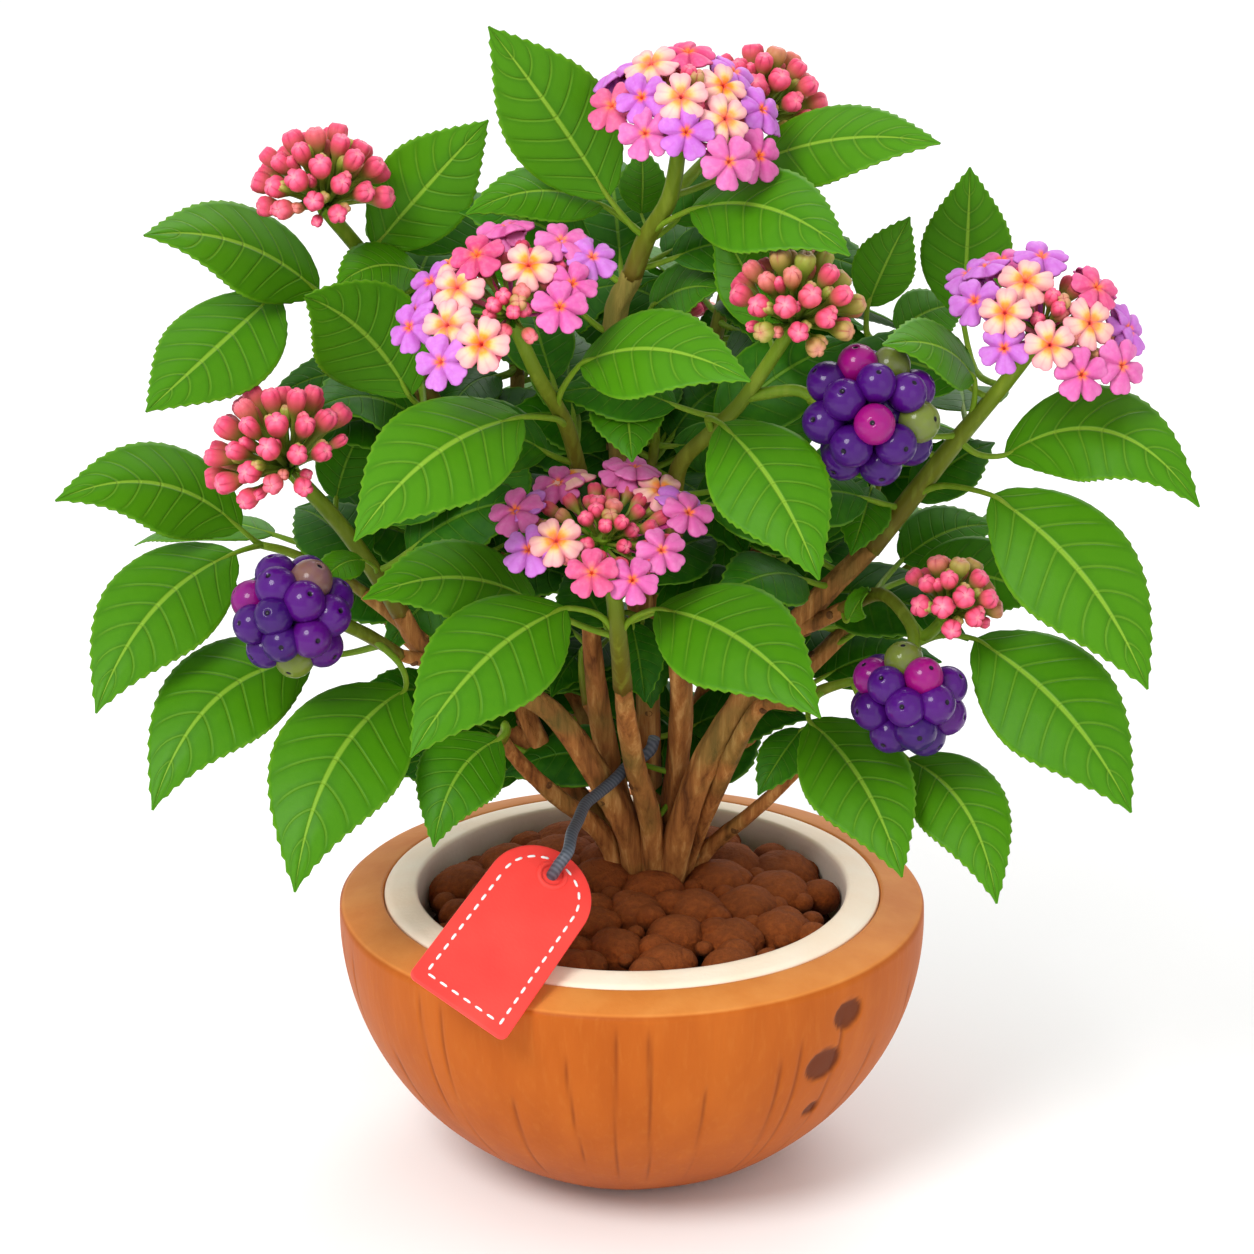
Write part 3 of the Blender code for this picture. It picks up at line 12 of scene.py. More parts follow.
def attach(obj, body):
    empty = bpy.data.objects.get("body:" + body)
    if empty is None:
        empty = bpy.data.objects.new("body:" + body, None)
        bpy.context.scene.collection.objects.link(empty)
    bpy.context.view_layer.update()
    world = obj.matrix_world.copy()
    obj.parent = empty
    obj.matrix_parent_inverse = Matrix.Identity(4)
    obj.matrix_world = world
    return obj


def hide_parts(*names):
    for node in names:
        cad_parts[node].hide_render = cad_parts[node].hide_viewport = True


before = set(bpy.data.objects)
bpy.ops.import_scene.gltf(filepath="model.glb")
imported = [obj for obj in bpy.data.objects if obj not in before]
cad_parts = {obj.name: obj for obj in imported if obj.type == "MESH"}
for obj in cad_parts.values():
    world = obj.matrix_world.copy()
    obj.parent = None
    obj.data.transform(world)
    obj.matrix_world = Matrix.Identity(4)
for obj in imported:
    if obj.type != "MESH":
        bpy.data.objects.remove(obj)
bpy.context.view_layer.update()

# Lengths are in millimetres until a mesh is made. The front faces -Y.
METRES = 0.001
GAP = 0.3
ORIGIN = Vector((0, 0, 0))
UP = Vector((0, 0, 1))

# The photograph's camera
VIEW_ELEVATION = radians(20)
VIEW_UP = Vector((0, sin(VIEW_ELEVATION), cos(VIEW_ELEVATION)))
VIEW_OUT = Vector((0, -cos(VIEW_ELEVATION), sin(VIEW_ELEVATION)))
CAMERA_TARGET = Vector((-1.113, 0, 126.7))
CAMERA_DISTANCE = 1100
CAMERA_LENS = 141.9

# Studio, in metres: each light's place, the height of the point it faces on the axis, its width and power
LIGHTS = {
    "key": ((-0.55, -0.85, 1.05), 0.13, 0.6, 12),
    "fill": ((0.7, -1.1, 0.35), 0.10, 0.9, 1.5),
    "back": ((0.3, 0.9, 0.9), 0.15, 0.8, 4.5),
}
WORLD_STRENGTH = 0.9
FLOOR_HALF = 6

# Pot, lining and soil
POT_RADIUS = 66.4
POT_HALF_HEIGHT = 62.8
POT_CENTRE = 58.7
POT_TOP = 61.7
BOWL_RADIUS = 48.6
BOWL_TOP = 65.0
CLOD_COUNT = 34
CLOD_RADIUS = 8.6
CLOD_SPREAD = 42.0
CRUMB_COUNT = 110
CRUMB_RADIUS = 3.4
SOIL_GAP = 0.7
MOUND_EDGE = 57.0
MOUND_RISE = 5.0
GOLDEN_ANGLE = radians(137.508)
# Outlines as (radius, height): the shell's foot and rim, the flesh's rim, the bed, the collar and a knot
SHELL_FOOT = [(0.0, 0.4), (21.8, 0.35), (22.8, 0.0)]
SHELL_RIM = [(66.0, 61.3), (65.6, 61.75), (65.0, 61.98), (61.2, 62.85), (57.2, 63.8), (56.6, 63.75),
             (56.3, 63.2), (55.5, 56.0)]
FLESH_RIM = [(55.9, 60.0), (56.1, 63.4), (55.8, 63.95), (54.0, 64.3), (51.5, 64.75), (49.6, 65.0),
             (48.9, 64.85), (48.6, 64.2)]
BED = [(0.0, 56.0), (20.0, 55.6), (40.0, 53.5), (47.8, 51.5), (47.0, 44.0), (0.0, 30.0)]
COLLAR = [(0.0, 54.0), (14.2, 55.0), (14.0, 59.5), (13.0, 61.5), (10.0, 63.5), (6.0, 65.0), (0.0, 65.5)]
KNOT_BUMP = [(0.0, -0.6), (0.85, -0.5), (0.95, 0.0), (0.7, 0.38), (0.3, 0.3), (0.0, 0.2)]
SHELL_RINGS = 80
SHELL_SIDES = 600
SHELL_SWELL = 0.35
GROOVE_COUNT = 34
GROOVE_DEPTH = 0.3
EYE_DEPTH = 0.55
LINING_SIDES = 240
# How much narrower and lower an eye looks from the front than it is along the shell
EYE_SQUEEZE = (0.72, 0.84)
# The shell's three eyes: angle from the front, height and radius
SHELL_EYES = ((45.8, 53.4, 2.9), (40.9, 42.4, 3.4), (42.3, 29.2, 1.6))
COLLAR_MIDDLE = Vector((4.0, 11.5))
COLLAR_HALF = (14.5, 11.0)
BARK_KNOTS = 3

# Leaves: their arch and faces are those of their solids
LEAF_THICKNESS = 0.75
LEAF_ARCH = 0.25
LEAF_OUTWARD = 0.35
LEAF_FOLD = 0.12
FRONT_FACE = (0.0, -0.7, 0.7)
UPRIGHT_FACE = (0.0, -0.97, 0.25)
LEAF_COLUMNS = (-1.0, -0.93, -0.72, -0.42, -0.09, 0.0, 0.09, 0.42, 0.72, 0.93, 1.0)
# Finding a leaf in its solid: the most that one point may count, the least gain that a further shift
# must bring, and the sum at which the leaf is found
MISS_MOST = 3.0
MISS_STEP = 0.05
MISS_FOUND = 0.06
# Teeth on each edge of a leaf that is wider than the first number
LEAF_TEETH = ((18, 19), (12, 13), (0, 8))
STALK_RADIUS = 0.85
SMALL_STALK_RADIUS = 0.5
VEINS = 8
VEIN_SWEEP = 0.17
VEIN_CURVE = 1.25
VEIN_STRETCH = 1.08
VEIN_PUFF = 0.17
RIB_GROOVE = 0.25
RIB_RIDGE = 0.55
BLADE_HALF = 0.16
TOOTH_REACH = 0.65
TOOTH_NOTCH = 0.22
TOOTH_LEAN = 0.55
LEAF_CURL = 0.05
LEAF_RIPPLE = 0.03
# The plant's middle and half sizes, by which its inner leaves are darker with painted shade
PLANT_MIDDLE = Vector((0, 10, 120))
PLANT_HALF = (95, 62, 110)

# Flowers and berries
FLORET_RADIUS = 5.9
BUD_RADIUS = 2.7
# Buds shown for each one that a bud head's spec counts, and buds round the foot of an open head
BUDS_SHOWN = 2.2
OUTER_BUDS = 14
# How far the buds of a head are along, where not all are grown
YOUNG_HEADS = {"buds_mid_right": 0.45, "buds_low_right": 0.6, "buds_top": 0.8}
BERRY_RADIUS = 4.45
# Berries beyond a bunch's count
MORE_BERRIES = 4
# How far the berries spread from a bunch's far end: 2 would be all the way round
BERRY_SPREAD = 1.68
# How far under a head's middle, or inside a bunch, its stem ends, and how far above that its foot is
HEAD_SEAT = 5.0
BUD_HEAD_SEAT = 3.0
BERRY_SEAT = 1.5
HEAD_FOOT = 0.6
BUD_HEAD_FOOT = 0.8
BRACT_TONE = 0.8
BRACT_TEETH = 5
# How much the florets turn to the front, and the height between their three tiers
FLORET_FACING = 0.6
FLORET_TIER = 0.9
FLORET_TUBE = 3.2
FLORET_RINGS = (0.0, 0.07, 0.15, 0.24, 0.42, 0.62, 0.8, 0.93, 1.0)
FLORET_SPOKES = 50
# Outlines from pole to pole as (radius, height): a bud's by its radius and length, a berry's by its radius
BUD_PROFILE = ((0.0, 0.0), (0.26, 0.01), (0.24, 0.42), (0.32, 0.58), (0.58, 0.68), (0.88, 0.78),
               (1.0, 0.87), (0.95, 0.94), (0.7, 0.985), (0.34, 0.99), (0.0, 0.955))
BERRY_PROFILE = [(0.0, -1.0)] + [(sin(radians(angle)), -cos(radians(angle)))
                                 for angle in range(15, 166, 15)] + [(0.16, 0.98), (0.12, 0.92), (0.0, 0.9)]

# Tag and its cord
TAG_HOLE = Vector((-17.6, -38.8, 82.9))
TAG_WAY = Vector((-0.50, -0.74, -0.45)).normalized()
TAG_SIDE_HINT = Vector((0.85, -0.20, -0.48))
TAG_WIDTH = 25.0
TAG_ARCH_RADIUS = 12.0
TAG_END_TO_HOLE = 6.2
TAG_LENGTH = 46.5
TAG_THICKNESS = 1.2
TAG_HOLE_RADIUS = 2.2
TAG_CORNER = 1.8
TAG_BEVEL = 0.42
TAG_STRIP = 0.3
STITCH_INSET = 2.9
STITCH_PITCH = 3.05
STITCH_HALF = 1.0
STITCH_THICKNESS = 0.3
CORD_RADIUS = 1.35
CORD_TURN = 5.4
CORD_TURN_ANGLES = (10, 45, 75)
CORD_SINK = 0.05
CORD_SPACING = 1.2
CURVE_STEPS = 30
KNOT_RADIUS = 2.8
KNOT_LOOP = 1.45
KNOT_STRAND = 1.2

# Woody branches: points from the crown or a larger branch upwards, root radius and end radius
WOOD = {
    "front": ([(5, 6, 58), (5, 4, 68), (4, 0, 82), (1, -4, 94), (-1, -12, 109), (-2, -18, 119)], 2.9, 2.1),
    "left": ([(1, 8, 58), (0, 5, 73), (-7, 0, 90), (-15, -3, 104), (-23, -5, 112), (-45, -8, 124),
              (-51, -11, 134)], 3.4, 2.1),
    "mid_left": ([(0, 12, 58), (-1, 11, 73), (-6, 6, 97), (-9, -1, 125), (-10, -13, 160)], 3.1, 1.9),
    "upper_left": ([(-2, 15, 58), (-5, 16, 70), (-20, 18, 90), (-30, 21, 116), (-39, 14, 164),
                    (-44, 11.5, 176)], 3.0, 1.8),
    "low_left": ([(-3, 9, 58), (-6, 7, 73), (-19, 2, 87), (-25, -2, 95), (-29, -8, 103)], 2.4, 1.5),
    "top": ([(4, 16, 58), (4, 16, 71), (3, 14, 118), (-2, 5, 159), (-4, -4, 197), (0, -7, 210)], 3.2, 2.3),
    "mid_right": ([(7, 10, 58), (8, 9, 70), (11, 2, 102), (10, -6, 126), (9, -18, 158)], 3.1, 1.9),
    "right": ([(8, 6, 58), (9, 4, 68), (15, -3, 92), (24, -8, 112), (37, -12, 133), (52, -14, 150)],
              3.6, 2.3),
    "low_right": ([(10, 8, 58), (13, 7, 69), (23, -8, 101), (29, -15, 114), (36, -20, 116)], 2.3, 1.5),
    "far_low_right": ([(12, 10, 58), (17, 9, 69), (29, 2, 83), (38, -2, 94)], 2.0, 1.4),
    "left_high": ([(-38, 14.5, 160), (-48, 17, 174), (-54, 16, 183)], 1.7, 1.5),
    "left_low": ([(-46, -8, 126), (-52, -6, 131), (-59, -4, 136)], 1.7, 1.4),
    "left_berry": ([(-40, -7, 121), (-46, -11, 123), (-51, -16, 126)], 1.7, 1.4),
    "right_behind": ([(37, -12, 133), (44, -9, 139), (48, -8, 144)], 1.8, 1.4),
    "right_low": ([(34, -11, 129), (42, -15, 134), (46, -17, 137)], 1.9, 1.5),
    "inner_centre": ([(-1, 7, 150), (2, 8, 156), (4, 8, 161)], 1.6, 1.3),
    "inner_left": ([(-30, 21, 116), (-34, 20, 125), (-37, 18, 131)], 1.6, 1.3),
    "inner_right": ([(24, -8, 112), (28, -3, 119), (31, 1, 124)], 1.8, 1.3),
    "inner_low": ([(-4, 8, 90), (-7, 11, 98), (-10, 12, 104)], 1.8, 1.3),
    "back_right": ([(8, 15, 58), (9, 17, 70), (18, 28, 104), (30, 40, 132), (36, 46, 148)], 2.8, 1.8),
    "back_far_right": ([(9, 13, 58), (12, 13, 70), (28, 19, 96), (48, 25, 116), (56, 27, 124)], 2.6, 1.7),
    "back_middle": ([(4, 17, 58), (3, 19, 70), (2, 36, 102), (2, 50, 126), (2, 57, 138)], 2.8, 1.8),
    "back_left": ([(0, 17, 58), (-2, 18, 70), (-14, 32, 100), (-28, 44, 128), (-34, 49, 142)], 2.8, 1.8),
    "back_far_left": ([(-3, 13, 58), (-6, 14, 70), (-28, 24, 94), (-50, 30, 112), (-58, 32, 120)], 2.6, 1.7),
    "back_top": ([(3, 14, 118), (8, 20, 146), (14, 26, 168), (17, 29, 178)], 2.2, 1.7),
    "back_top_left": ([(-30, 21, 116), (-27, 30, 142), (-26, 35, 164), (-26, 37, 174)], 2.0, 1.6),
}

# Green shoots: the stem's points after its branch's end; leaves as (stem point, base, tip, width), and
# their face and how much of the usual bow they have, where these aren't FRONT_FACE and 1; twigs as
# (stem point, points), each up to a head or bunch. Shoots with a rule get back_leaves()
SHOOTS = {
    "front": dict(stem=[(-3, -32, 136), (-4, -36, 147), (-5, -37.5, 154)], leaves=[
        (1, (-14, -44, 147), (-46, -80, 127), 26),
        (1, (5, -42, 146), (39, -78, 135), 26),
        (1, (-17, -33, 147), (-52, -60, 159), 20.5)]),
    "mid_left": dict(stem=[(-14, -24, 181), (-20, -38, 197), (-22.5, -43.5, 203)], leaves=[
        (1, (-23, -42, 189), (-57, -76, 173), 26),
        (1, (-11, -44, 201), (24, -72, 206), 22)]),
    "top": dict(stem=[(3, -10, 219), (8, -17, 230), (10.5, -21, 237)], twigs=[
        (1, [(9, -8, 228), (17, 2, 234), (25, 5, 240.5)])], leaves=[
        (1, (-5, -14, 229), (-30, -22, 268), 23, UPRIGHT_FACE, 0.2),
        (1, (13, -20, 226), (47, -46, 220), 22),
        (1, (-6, -6, 225), (-33, -26, 231), 14),
        (2, (24, -8, 234), (64, -34, 246), 19.5, FRONT_FACE, 0.6),
        (2, (2, 2, 221), (2, 12, 233), 10, UPRIGHT_FACE)]),
    "upper_left": dict(stem=[(-51, 8, 191), (-54, 5, 201), (-57, 2, 210), (-62.5, -4, 223)], leaves=[
        (3, (-56, 2, 213.5), (-32, -10, 243.5), 20.5, UPRIGHT_FACE, 0.1),
        (2, (-46, -2, 209), (-63, -20, 211), 14),
        (0.4, (-48, -12, 184), (-69, -34, 213), 24, UPRIGHT_FACE)]),
    "left_high": dict(stem=[(-60, 9, 192), (-66, 5, 200)], leaves=[
        (2, (-68, 0, 204), (-103, -26, 224), 22, FRONT_FACE, 0.9),
        (2, (-71, -4, 199), (-97, -36, 179), 24, FRONT_FACE, 0)]),
    "left": dict(stem=[(-55, -13, 142), (-63, -17, 156), (-70.5, -23, 168)], leaves=[
        (2, (-65, -4, 158), (-57, 4, 175), 13, UPRIGHT_FACE)]),
    "left_low": dict(stem=[(-66, -1, 140), (-76, 1, 144), (-82, 0, 146)], leaves=[
        (3, (-86, -4, 151), (-124, -26, 165), 22, FRONT_FACE, 1.3),
        (3, (-87, -8, 147), (-115, -44, 123), 25, FRONT_FACE, 1.1)]),
    "left_berry": dict(stem=[(-57, -21, 132), (-62, -27, 137), (-65, -31, 140)], leaves=[
        (0.6, (-70.5, -16, 125), (-103, -50, 103), 25, FRONT_FACE, 1.6),
        (1, (-49.5, -24, 121), (-72, -62, 89), 28.5, FRONT_FACE, 1.6)]),
    "low_left": dict(stem=[(-28, -13, 107), (-28, -17, 110)], leaves=[
        (2, (-29, -23, 109), (-43, -44, 92), 18.5, FRONT_FACE, 1.8)]),
    "right": dict(stem=[(61, -16, 163), (70, -20, 177), (79, -24, 190), (83, -26.5, 195.5)], leaves=[
        (1, (77, -28, 167), (109, -56, 133), 27.5),
        (2, (80, -22, 174), (120, -42, 169), 23, FRONT_FACE, 2),
        (2, (73, -26, 192), (49, -50, 205), 15.5),
        (3, (72, 2, 198), (73, 4, 231), 19.5, UPRIGHT_FACE)]),
    "mid_right": dict(stem=[(10, -24, 172), (17, -30, 182), (24, -34, 191), (31, -40, 205)], twigs=[
        (3, [(34, -36, 193), (38, -39, 192)])], leaves=[
        (2, (22, -44, 190), (42, -72, 165), 24),
        (4, (29, -22, 201), (17, -10, 223), 14, UPRIGHT_FACE)]),
    "right_behind": dict(stem=[(53, -2, 157), (55, 2, 172), (53, 2, 192)], leaves=[
        (3, (51, -4, 202), (60, 0, 221), 13, UPRIGHT_FACE),
        (3, (58, 4, 194), (74, 16, 196), 13),
        (1, (52, -8, 159), (47, -22, 147), 11)]),
    "right_low": dict(stem=[(54, -24, 143), (60, -32, 139), (61, -35, 135.5)], twigs=[
        (2, [(63, -34, 137), (66, -37, 141)])], leaves=[
        (3, (67.5, -38, 133), (99.5, -66, 104), 27.5, FRONT_FACE, 0.9),
        (1, (62, -10, 142), (91, -14, 137), 19.5),
        (1, (60, -6, 146), (82, 8, 150), 15.5)]),
    "low_right": dict(stem=[(42, -24, 121), (48, -27, 124)], leaves=[
        (1, (38.5, -30, 116), (57.5, -62, 92.5), 23),
        (2, (60, -30, 107), (78, -60, 85.5), 19.5, FRONT_FACE, 1.6)]),
    "far_low_right": dict(stem=[(43, -1, 97), (46, 0, 100)], leaves=[
        (2, (38, -4, 104), (28, -14, 92), 10)]),
    "inner_centre": dict(stem=[(5, 5, 168), (5, 2, 178)], leaves=[
        (1, (-6, -22, 190), (-4, -40, 178), 15.5),
        (2, (4, 4, 199), (19, -8, 207), 15.5),
        (1, (9, 6, 167), (28, 4, 162), 13),
        (1, (-7, 10, 170), (-27, 8, 166), 13)]),
    "inner_left": dict(stem=[(-38, 14, 140), (-43, 12, 150)], leaves=[
        (1, (-45, 4, 147), (-57, 0, 167), 15.5, UPRIGHT_FACE),
        (1, (-34, 4, 150), (-25, 0, 173), 17.5, UPRIGHT_FACE),
        (1, (-36, 4, 137), (-54, -8, 128), 15.5)]),
    "inner_right": dict(stem=[(31, 6, 140), (30, 8, 152)], leaves=[
        (1, (25, 2, 146), (7, -4, 140), 15.5),
        (1, (37, 2, 145), (48, 0, 166), 15.5, UPRIGHT_FACE),
        (2, (29, 6, 161), (35, 6, 182), 15.5, UPRIGHT_FACE)]),
    "inner_low": dict(stem=[(-11, 11, 112), (-11, 9, 118)], leaves=[
        (2, (-8, -4, 128), (-5, -12, 112), 11),
        (2, (2, -2, 130), (5, -10, 112), 13)]),
    "back_right": dict(stem=[(40, 50, 158), (44, 54, 168)], rule=True),
    "back_far_right": dict(stem=[(65, 29, 132), (73, 30, 139)], rule=True),
    "back_middle": dict(stem=[(2, 62, 150), (2, 66, 160), (2, 68, 168)], rule=True),
    "back_left": dict(stem=[(-39, 53, 152), (-43, 56, 161)], rule=True),
    "back_far_left": dict(stem=[(-67, 33, 128), (-75, 33, 135)], rule=True),
    "back_top": dict(stem=[(20, 32, 190), (22, 34, 200), (23, 35, 206)], rule=True),
    "back_top_left": dict(stem=[(-27, 39, 184), (-28, 41, 194)], rule=True),
}
BACK_LEAF_LENGTH = 37.0
BACK_LEAF_WIDTH = 20.0
BACK_LEAF_FALL = 13.0
BACK_STALK = 7.5

# Open heads: middle of the dome's base, axis, radius and height, florets as (across, up) from that middle
# where the front view shows them, and the middle, reach and number of the buds between them
OPEN_HEADS = {
    "head_front": dict(centre=(-6.4, -41, 164.4), axis=(-0.02, -0.34, 0.94), radius=19.5, height=4.5,
                       florets=[
        (-9.5, 9.5), (5, 11.5), (-18, 2.5), (-15.5, -5), (-9.5, -3.5), (-2, -10.5), (6.5, -11.5),
        (12.5, -5.5), (18, 2), (12.5, 8)], bud_middle=(0.5, 2), bud_reach=5.5, buds=7),
    "head_mid_left": dict(centre=(-26.9, -46, 215.7), axis=(-0.30, -0.45, 0.84), radius=20, height=7,
                          florets=[
        (-15.5, 4.5), (-1, 14), (-5, 8.5), (-9.5, 2.5), (5.5, 6.5), (12, 11.5), (14.5, 3), (18.5, 8.5),
        (-18.5, -6), (-11.5, -5.5), (-4, -10), (-12, -13.5), (12, -2)],
        bud_middle=(2.5, -1.5), bud_reach=4.5, buds=5),
    "head_top": dict(centre=(11.1, -23, 248.7), axis=(0.20, -0.25, 0.95), radius=18, height=12, florets=[
        (-13, 9), (-7, 10.5), (0.5, 12.5), (-15.5, 2), (-9, 3), (-1, 2.5), (8, 6), (8, -1.5), (15, 1),
        (-8.5, -4.5), (0, -4.5), (8.5, -10.5), (15.5, -8.5), (10, 9.5)],
        bud_middle=(1.5, 8), bud_reach=1.5, buds=2),
    "head_right": dict(centre=(88.2, -28, 206.4), axis=(0.30, -0.33, 0.90), radius=18.5, height=10, florets=[
        (-16.5, 10), (-9, 12.5), (-1.5, 12), (-5.5, 7.5), (-16, 3), (-10, 0), (-10.5, -7), (-1, -6.5),
        (9, 5.5), (8, -1.5), (16.5, -2.5), (14, -10.5), (6, -12.5)],
        bud_middle=(1, 3), bud_reach=2.5, buds=3),
    "head_back_middle": dict(centre=(2, 70, 178), axis=(0.0, 0.45, 0.89), radius=18.5, height=10, florets=[],
                             bud_middle=(0, 9), bud_reach=1.0, buds=1),
}
# Hidden florets: their number behind each head, the turn between them and their reach as a share of its
# radius, and the number all round the head at the back
BACK_FLORETS = 4
BACK_TURN = radians(46)
BACK_REACH = 0.93
ROUND_FLORETS = 11
# Bud heads: middle, axis, radius to the bud tips, number of buds
BUD_HEADS = {
    "buds_upper_left": dict(centre=(-66.2, -6, 227), axis=(-0.10, -0.25, 0.96), radius=16.5, buds=13),
    "buds_left": dict(centre=(-74.5, -26, 174), axis=(-0.45, -0.30, 0.84), radius=18.0, buds=14),
    "buds_top": dict(centre=(28.0, 6, 243.5), axis=(0.25, -0.10, 0.96), radius=14.5, buds=11),
    "buds_mid_right": dict(centre=(34, -41.5, 211), axis=(0.15, -0.35, 0.92), radius=15.5, buds=12),
    "buds_low_right": dict(centre=(68, -38, 145.5), axis=(0.20, -0.30, 0.93), radius=11.5, buds=8),
    "buds_back_top": dict(centre=(23.5, 36, 210), axis=(0.10, 0.30, 0.95), radius=14.5, buds=11),
}
# Berry bunches: middle, radius, and the way their stalk leaves
BERRY_BUNCHES = {
    "berries_left": dict(centre=(-72.6, -40, 144), radius=13.7, count=15, stalk=(0.62, 0.72, -0.30)),
    "berries_right": dict(centre=(49.5, -46, 191), radius=15.4, count=17, stalk=(-0.80, 0.60, 0.05)),
    "berries_low_right": dict(centre=(59, -46, 127.5), radius=13.2, count=14, stalk=(0.15, 0.82, 0.55)),
}
# The head or bunch at the end of a shoot's stem, and of its twig
HEAD_OF_STEM = {
    "front": "head_front", "mid_left": "head_mid_left", "top": "head_top", "right": "head_right",
    "upper_left": "buds_upper_left", "left": "buds_left", "mid_right": "buds_mid_right",
    "left_berry": "berries_left", "right_low": "berries_low_right",
    "back_middle": "head_back_middle", "back_top": "buds_back_top",
}
HEAD_OF_TWIG = {"top": "buds_top", "mid_right": "berries_right", "right_low": "buds_low_right"}

# The cord from its free end to just before the tag's hole
CORD_ROUTE = [
    (5.0, 1.8, 99.5), (4.2, 2.2, 96.5), (2.0, 2.4, 94.4), (-1.0, 0.9, 93.0), (-3.4, -2.2, 91.5),
    (-5.8, -5.4, 90.5), (-8.0, -9.4, 90.2), (-10.4, -15.0, 90.2), (-12.0, -24.0, 89.8), (-13.2, -31.5, 90.0),
]

# Each head's florets in turn: lavender, magenta, hot pink, or cream with a warm star
FLORET_KINDS = {
    "head_front": "MMMLCPMMMC", "head_mid_left": "LMPCCMMLLCCLM", "head_top": "LCPPLCCCLMLMML",
    "head_right": "LMLCLCLCPCLMM", "head_back_middle": "",
}
HIDDEN_KINDS = "LMCLM"
# Unripe berries: where the front view shows them, (across, up) from their bunch's middle, and their tone
UNRIPE = {
    "berries_left": [((0, -7.5), 0.93), ((3.5, 8.5), 0.8), ((-7.5, 6), 0.55)],
    "berries_right": [((0.8, -1.5), 0.66), ((10.5, -2), 0.93), ((6.5, 8), 0.88), ((-6, 9.5), 0.6)],
    "berries_low_right": [((4.5, 4.5), 0.66), ((4, 11), 0.9), ((-10, 2), 0.55)],
}
# Small leaves at the joints of some shoots: root, base, tip and width
SMALL_LEAVES = {
    "left": [((-56, -14, 144), (-58, -22, 150), (-67, -38, 149), 8)],
    "right_low": [((46, -17.5, 137), (47, -22, 136), (51, -31, 146), 6)],
}
# Shade leaves fill the inside, on the stems of SHADE_BRANCHES
SHADE_LEAVES = 150
SHADE_TRIES = 20 * SHADE_LEAVES
SHADE_TRIAL_TEETH = 8
SHADE_TEETH = 10
# The share of its tone that a shade leaf keeps: painted shade
SHADE_TONE = 0.6
# The room that they may fill: its middle and half sizes, and the lowest tip and root
SHADE_MIDDLE = Vector((0, 10, 145))
SHADE_HALF = (92, 62, 92)
SHADE_LOWEST_TIP = 80
SHADE_LOWEST_ROOT = 78
# Shade leaves under the first height keep behind the second number, so that the stems show
SHADE_LOW = 128
SHADE_BACK = 6
SHADE_BRANCHES = ("top", "mid_left", "mid_right", "upper_left", "right", "left", "front", "back_right",
                  "back_left", "back_middle", "back_top", "back_top_left", "back_far_right",
                  "back_far_left", "inner_centre", "inner_left", "inner_right")


def placed(name, data):
    """A new object in the scene."""
    made = bpy.data.objects.new(name, data)
    bpy.context.scene.collection.objects.link(made)
    return made


class Form:
    """Points, faces and per-point values of one piece, gathered before its mesh is made."""

    def __init__(self):
        self.points, self.faces, self.values, self.slots = [], [], [], []

    def add(self, points, faces, values, slot=0):
        start = len(self.points)
        self.points += points
        self.values += values
        for face in faces:
            corners = list(dict.fromkeys(face))
            if len(corners) > 2:
                self.faces.append(tuple(start + corner for corner in corners))
                self.slots.append(slot)

    def skin(self, rings, values, slot=0):
        """Closed rings of points, each joined to the next; a ring of one point is a pole."""
        points, rows = [], []
        for ring in rings:
            rows.append(list(range(len(points), len(points) + len(ring))))
            points += ring
        self.add(points, rows_faces(rows, True), values, slot)

    def make(self, name, materials, nodes=()):
        """The piece: its mesh in metres, on the object's body, standing for its CAD nodes."""
        mesh = bpy.data.meshes.new(name)
        mesh.from_pydata([tuple(point * METRES) for point in self.points], [], self.faces)
        place = mesh.attributes.new("place", "FLOAT_COLOR", "POINT")
        place.data.foreach_set("color", [number for value in self.values for number in value])
        mesh.polygons.foreach_set("use_smooth", [True] * len(mesh.polygons))
        for finish in materials:
            mesh.materials.append(finish)
        mesh.polygons.foreach_set("material_index", self.slots)
        outward = bmesh.new()
        outward.from_mesh(mesh)
        bmesh.ops.recalc_face_normals(outward, faces=outward.faces)
        outward.to_mesh(mesh)
        outward.free()
        mesh.update()
        piece = placed(name, mesh)
        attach(piece, "root")
        if nodes:
            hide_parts(*nodes)
        return piece


def rows_faces(rows, closed):
    """Faces between rows of point numbers; a row of one number is a pole."""
    faces = []
    for low, high in zip(rows, rows[1:]):
        count = max(len(low), len(high))
        for side in range(count if closed else count - 1):
            after = (side + 1) % count
            faces.append((low[side % len(low)], low[after % len(low)],
                          high[after % len(high)], high[side % len(high)]))
    return faces


def square_to(way):
    """Two unit vectors square to the way given and to each other."""
    way = way.normalized()
    hint = UP if abs(way.z) < 0.9 else Vector((1, 0, 0))
    first = way.cross(hint).normalized()
    return first, way.cross(first).normalized()


def spoke_at(first, second, turn):
    """The unit vector at a turn from the first of two vectors square to each other."""
    return first * cos(turn) + second * sin(turn)


def ease(low, high, value):
    """0 at the low value, 1 at the high one, and smooth between them."""
    share = min(max((value - low) / (high - low), 0.0), 1.0)
    return share * share * (3 - 2 * share)


def smooth(points, steps):
    """Points on a smooth curve through a route, the given number of steps to a span."""
    padded = [points[0] * 2 - points[1], *points, points[-1] * 2 - points[-2]]
    curve = []
    for index in range(1, len(padded) - 2):
        before, start, end, after = padded[index - 1:index + 3]
        for step in range(steps):
            share = step / steps
            curve.append(0.5 * (2 * start + (end - before) * share
                                + (2 * before - 5 * start + 4 * end - after) * share ** 2
                                + (3 * start - before - 3 * end + after) * share ** 3))
    curve.append(points[-1])
    return curve


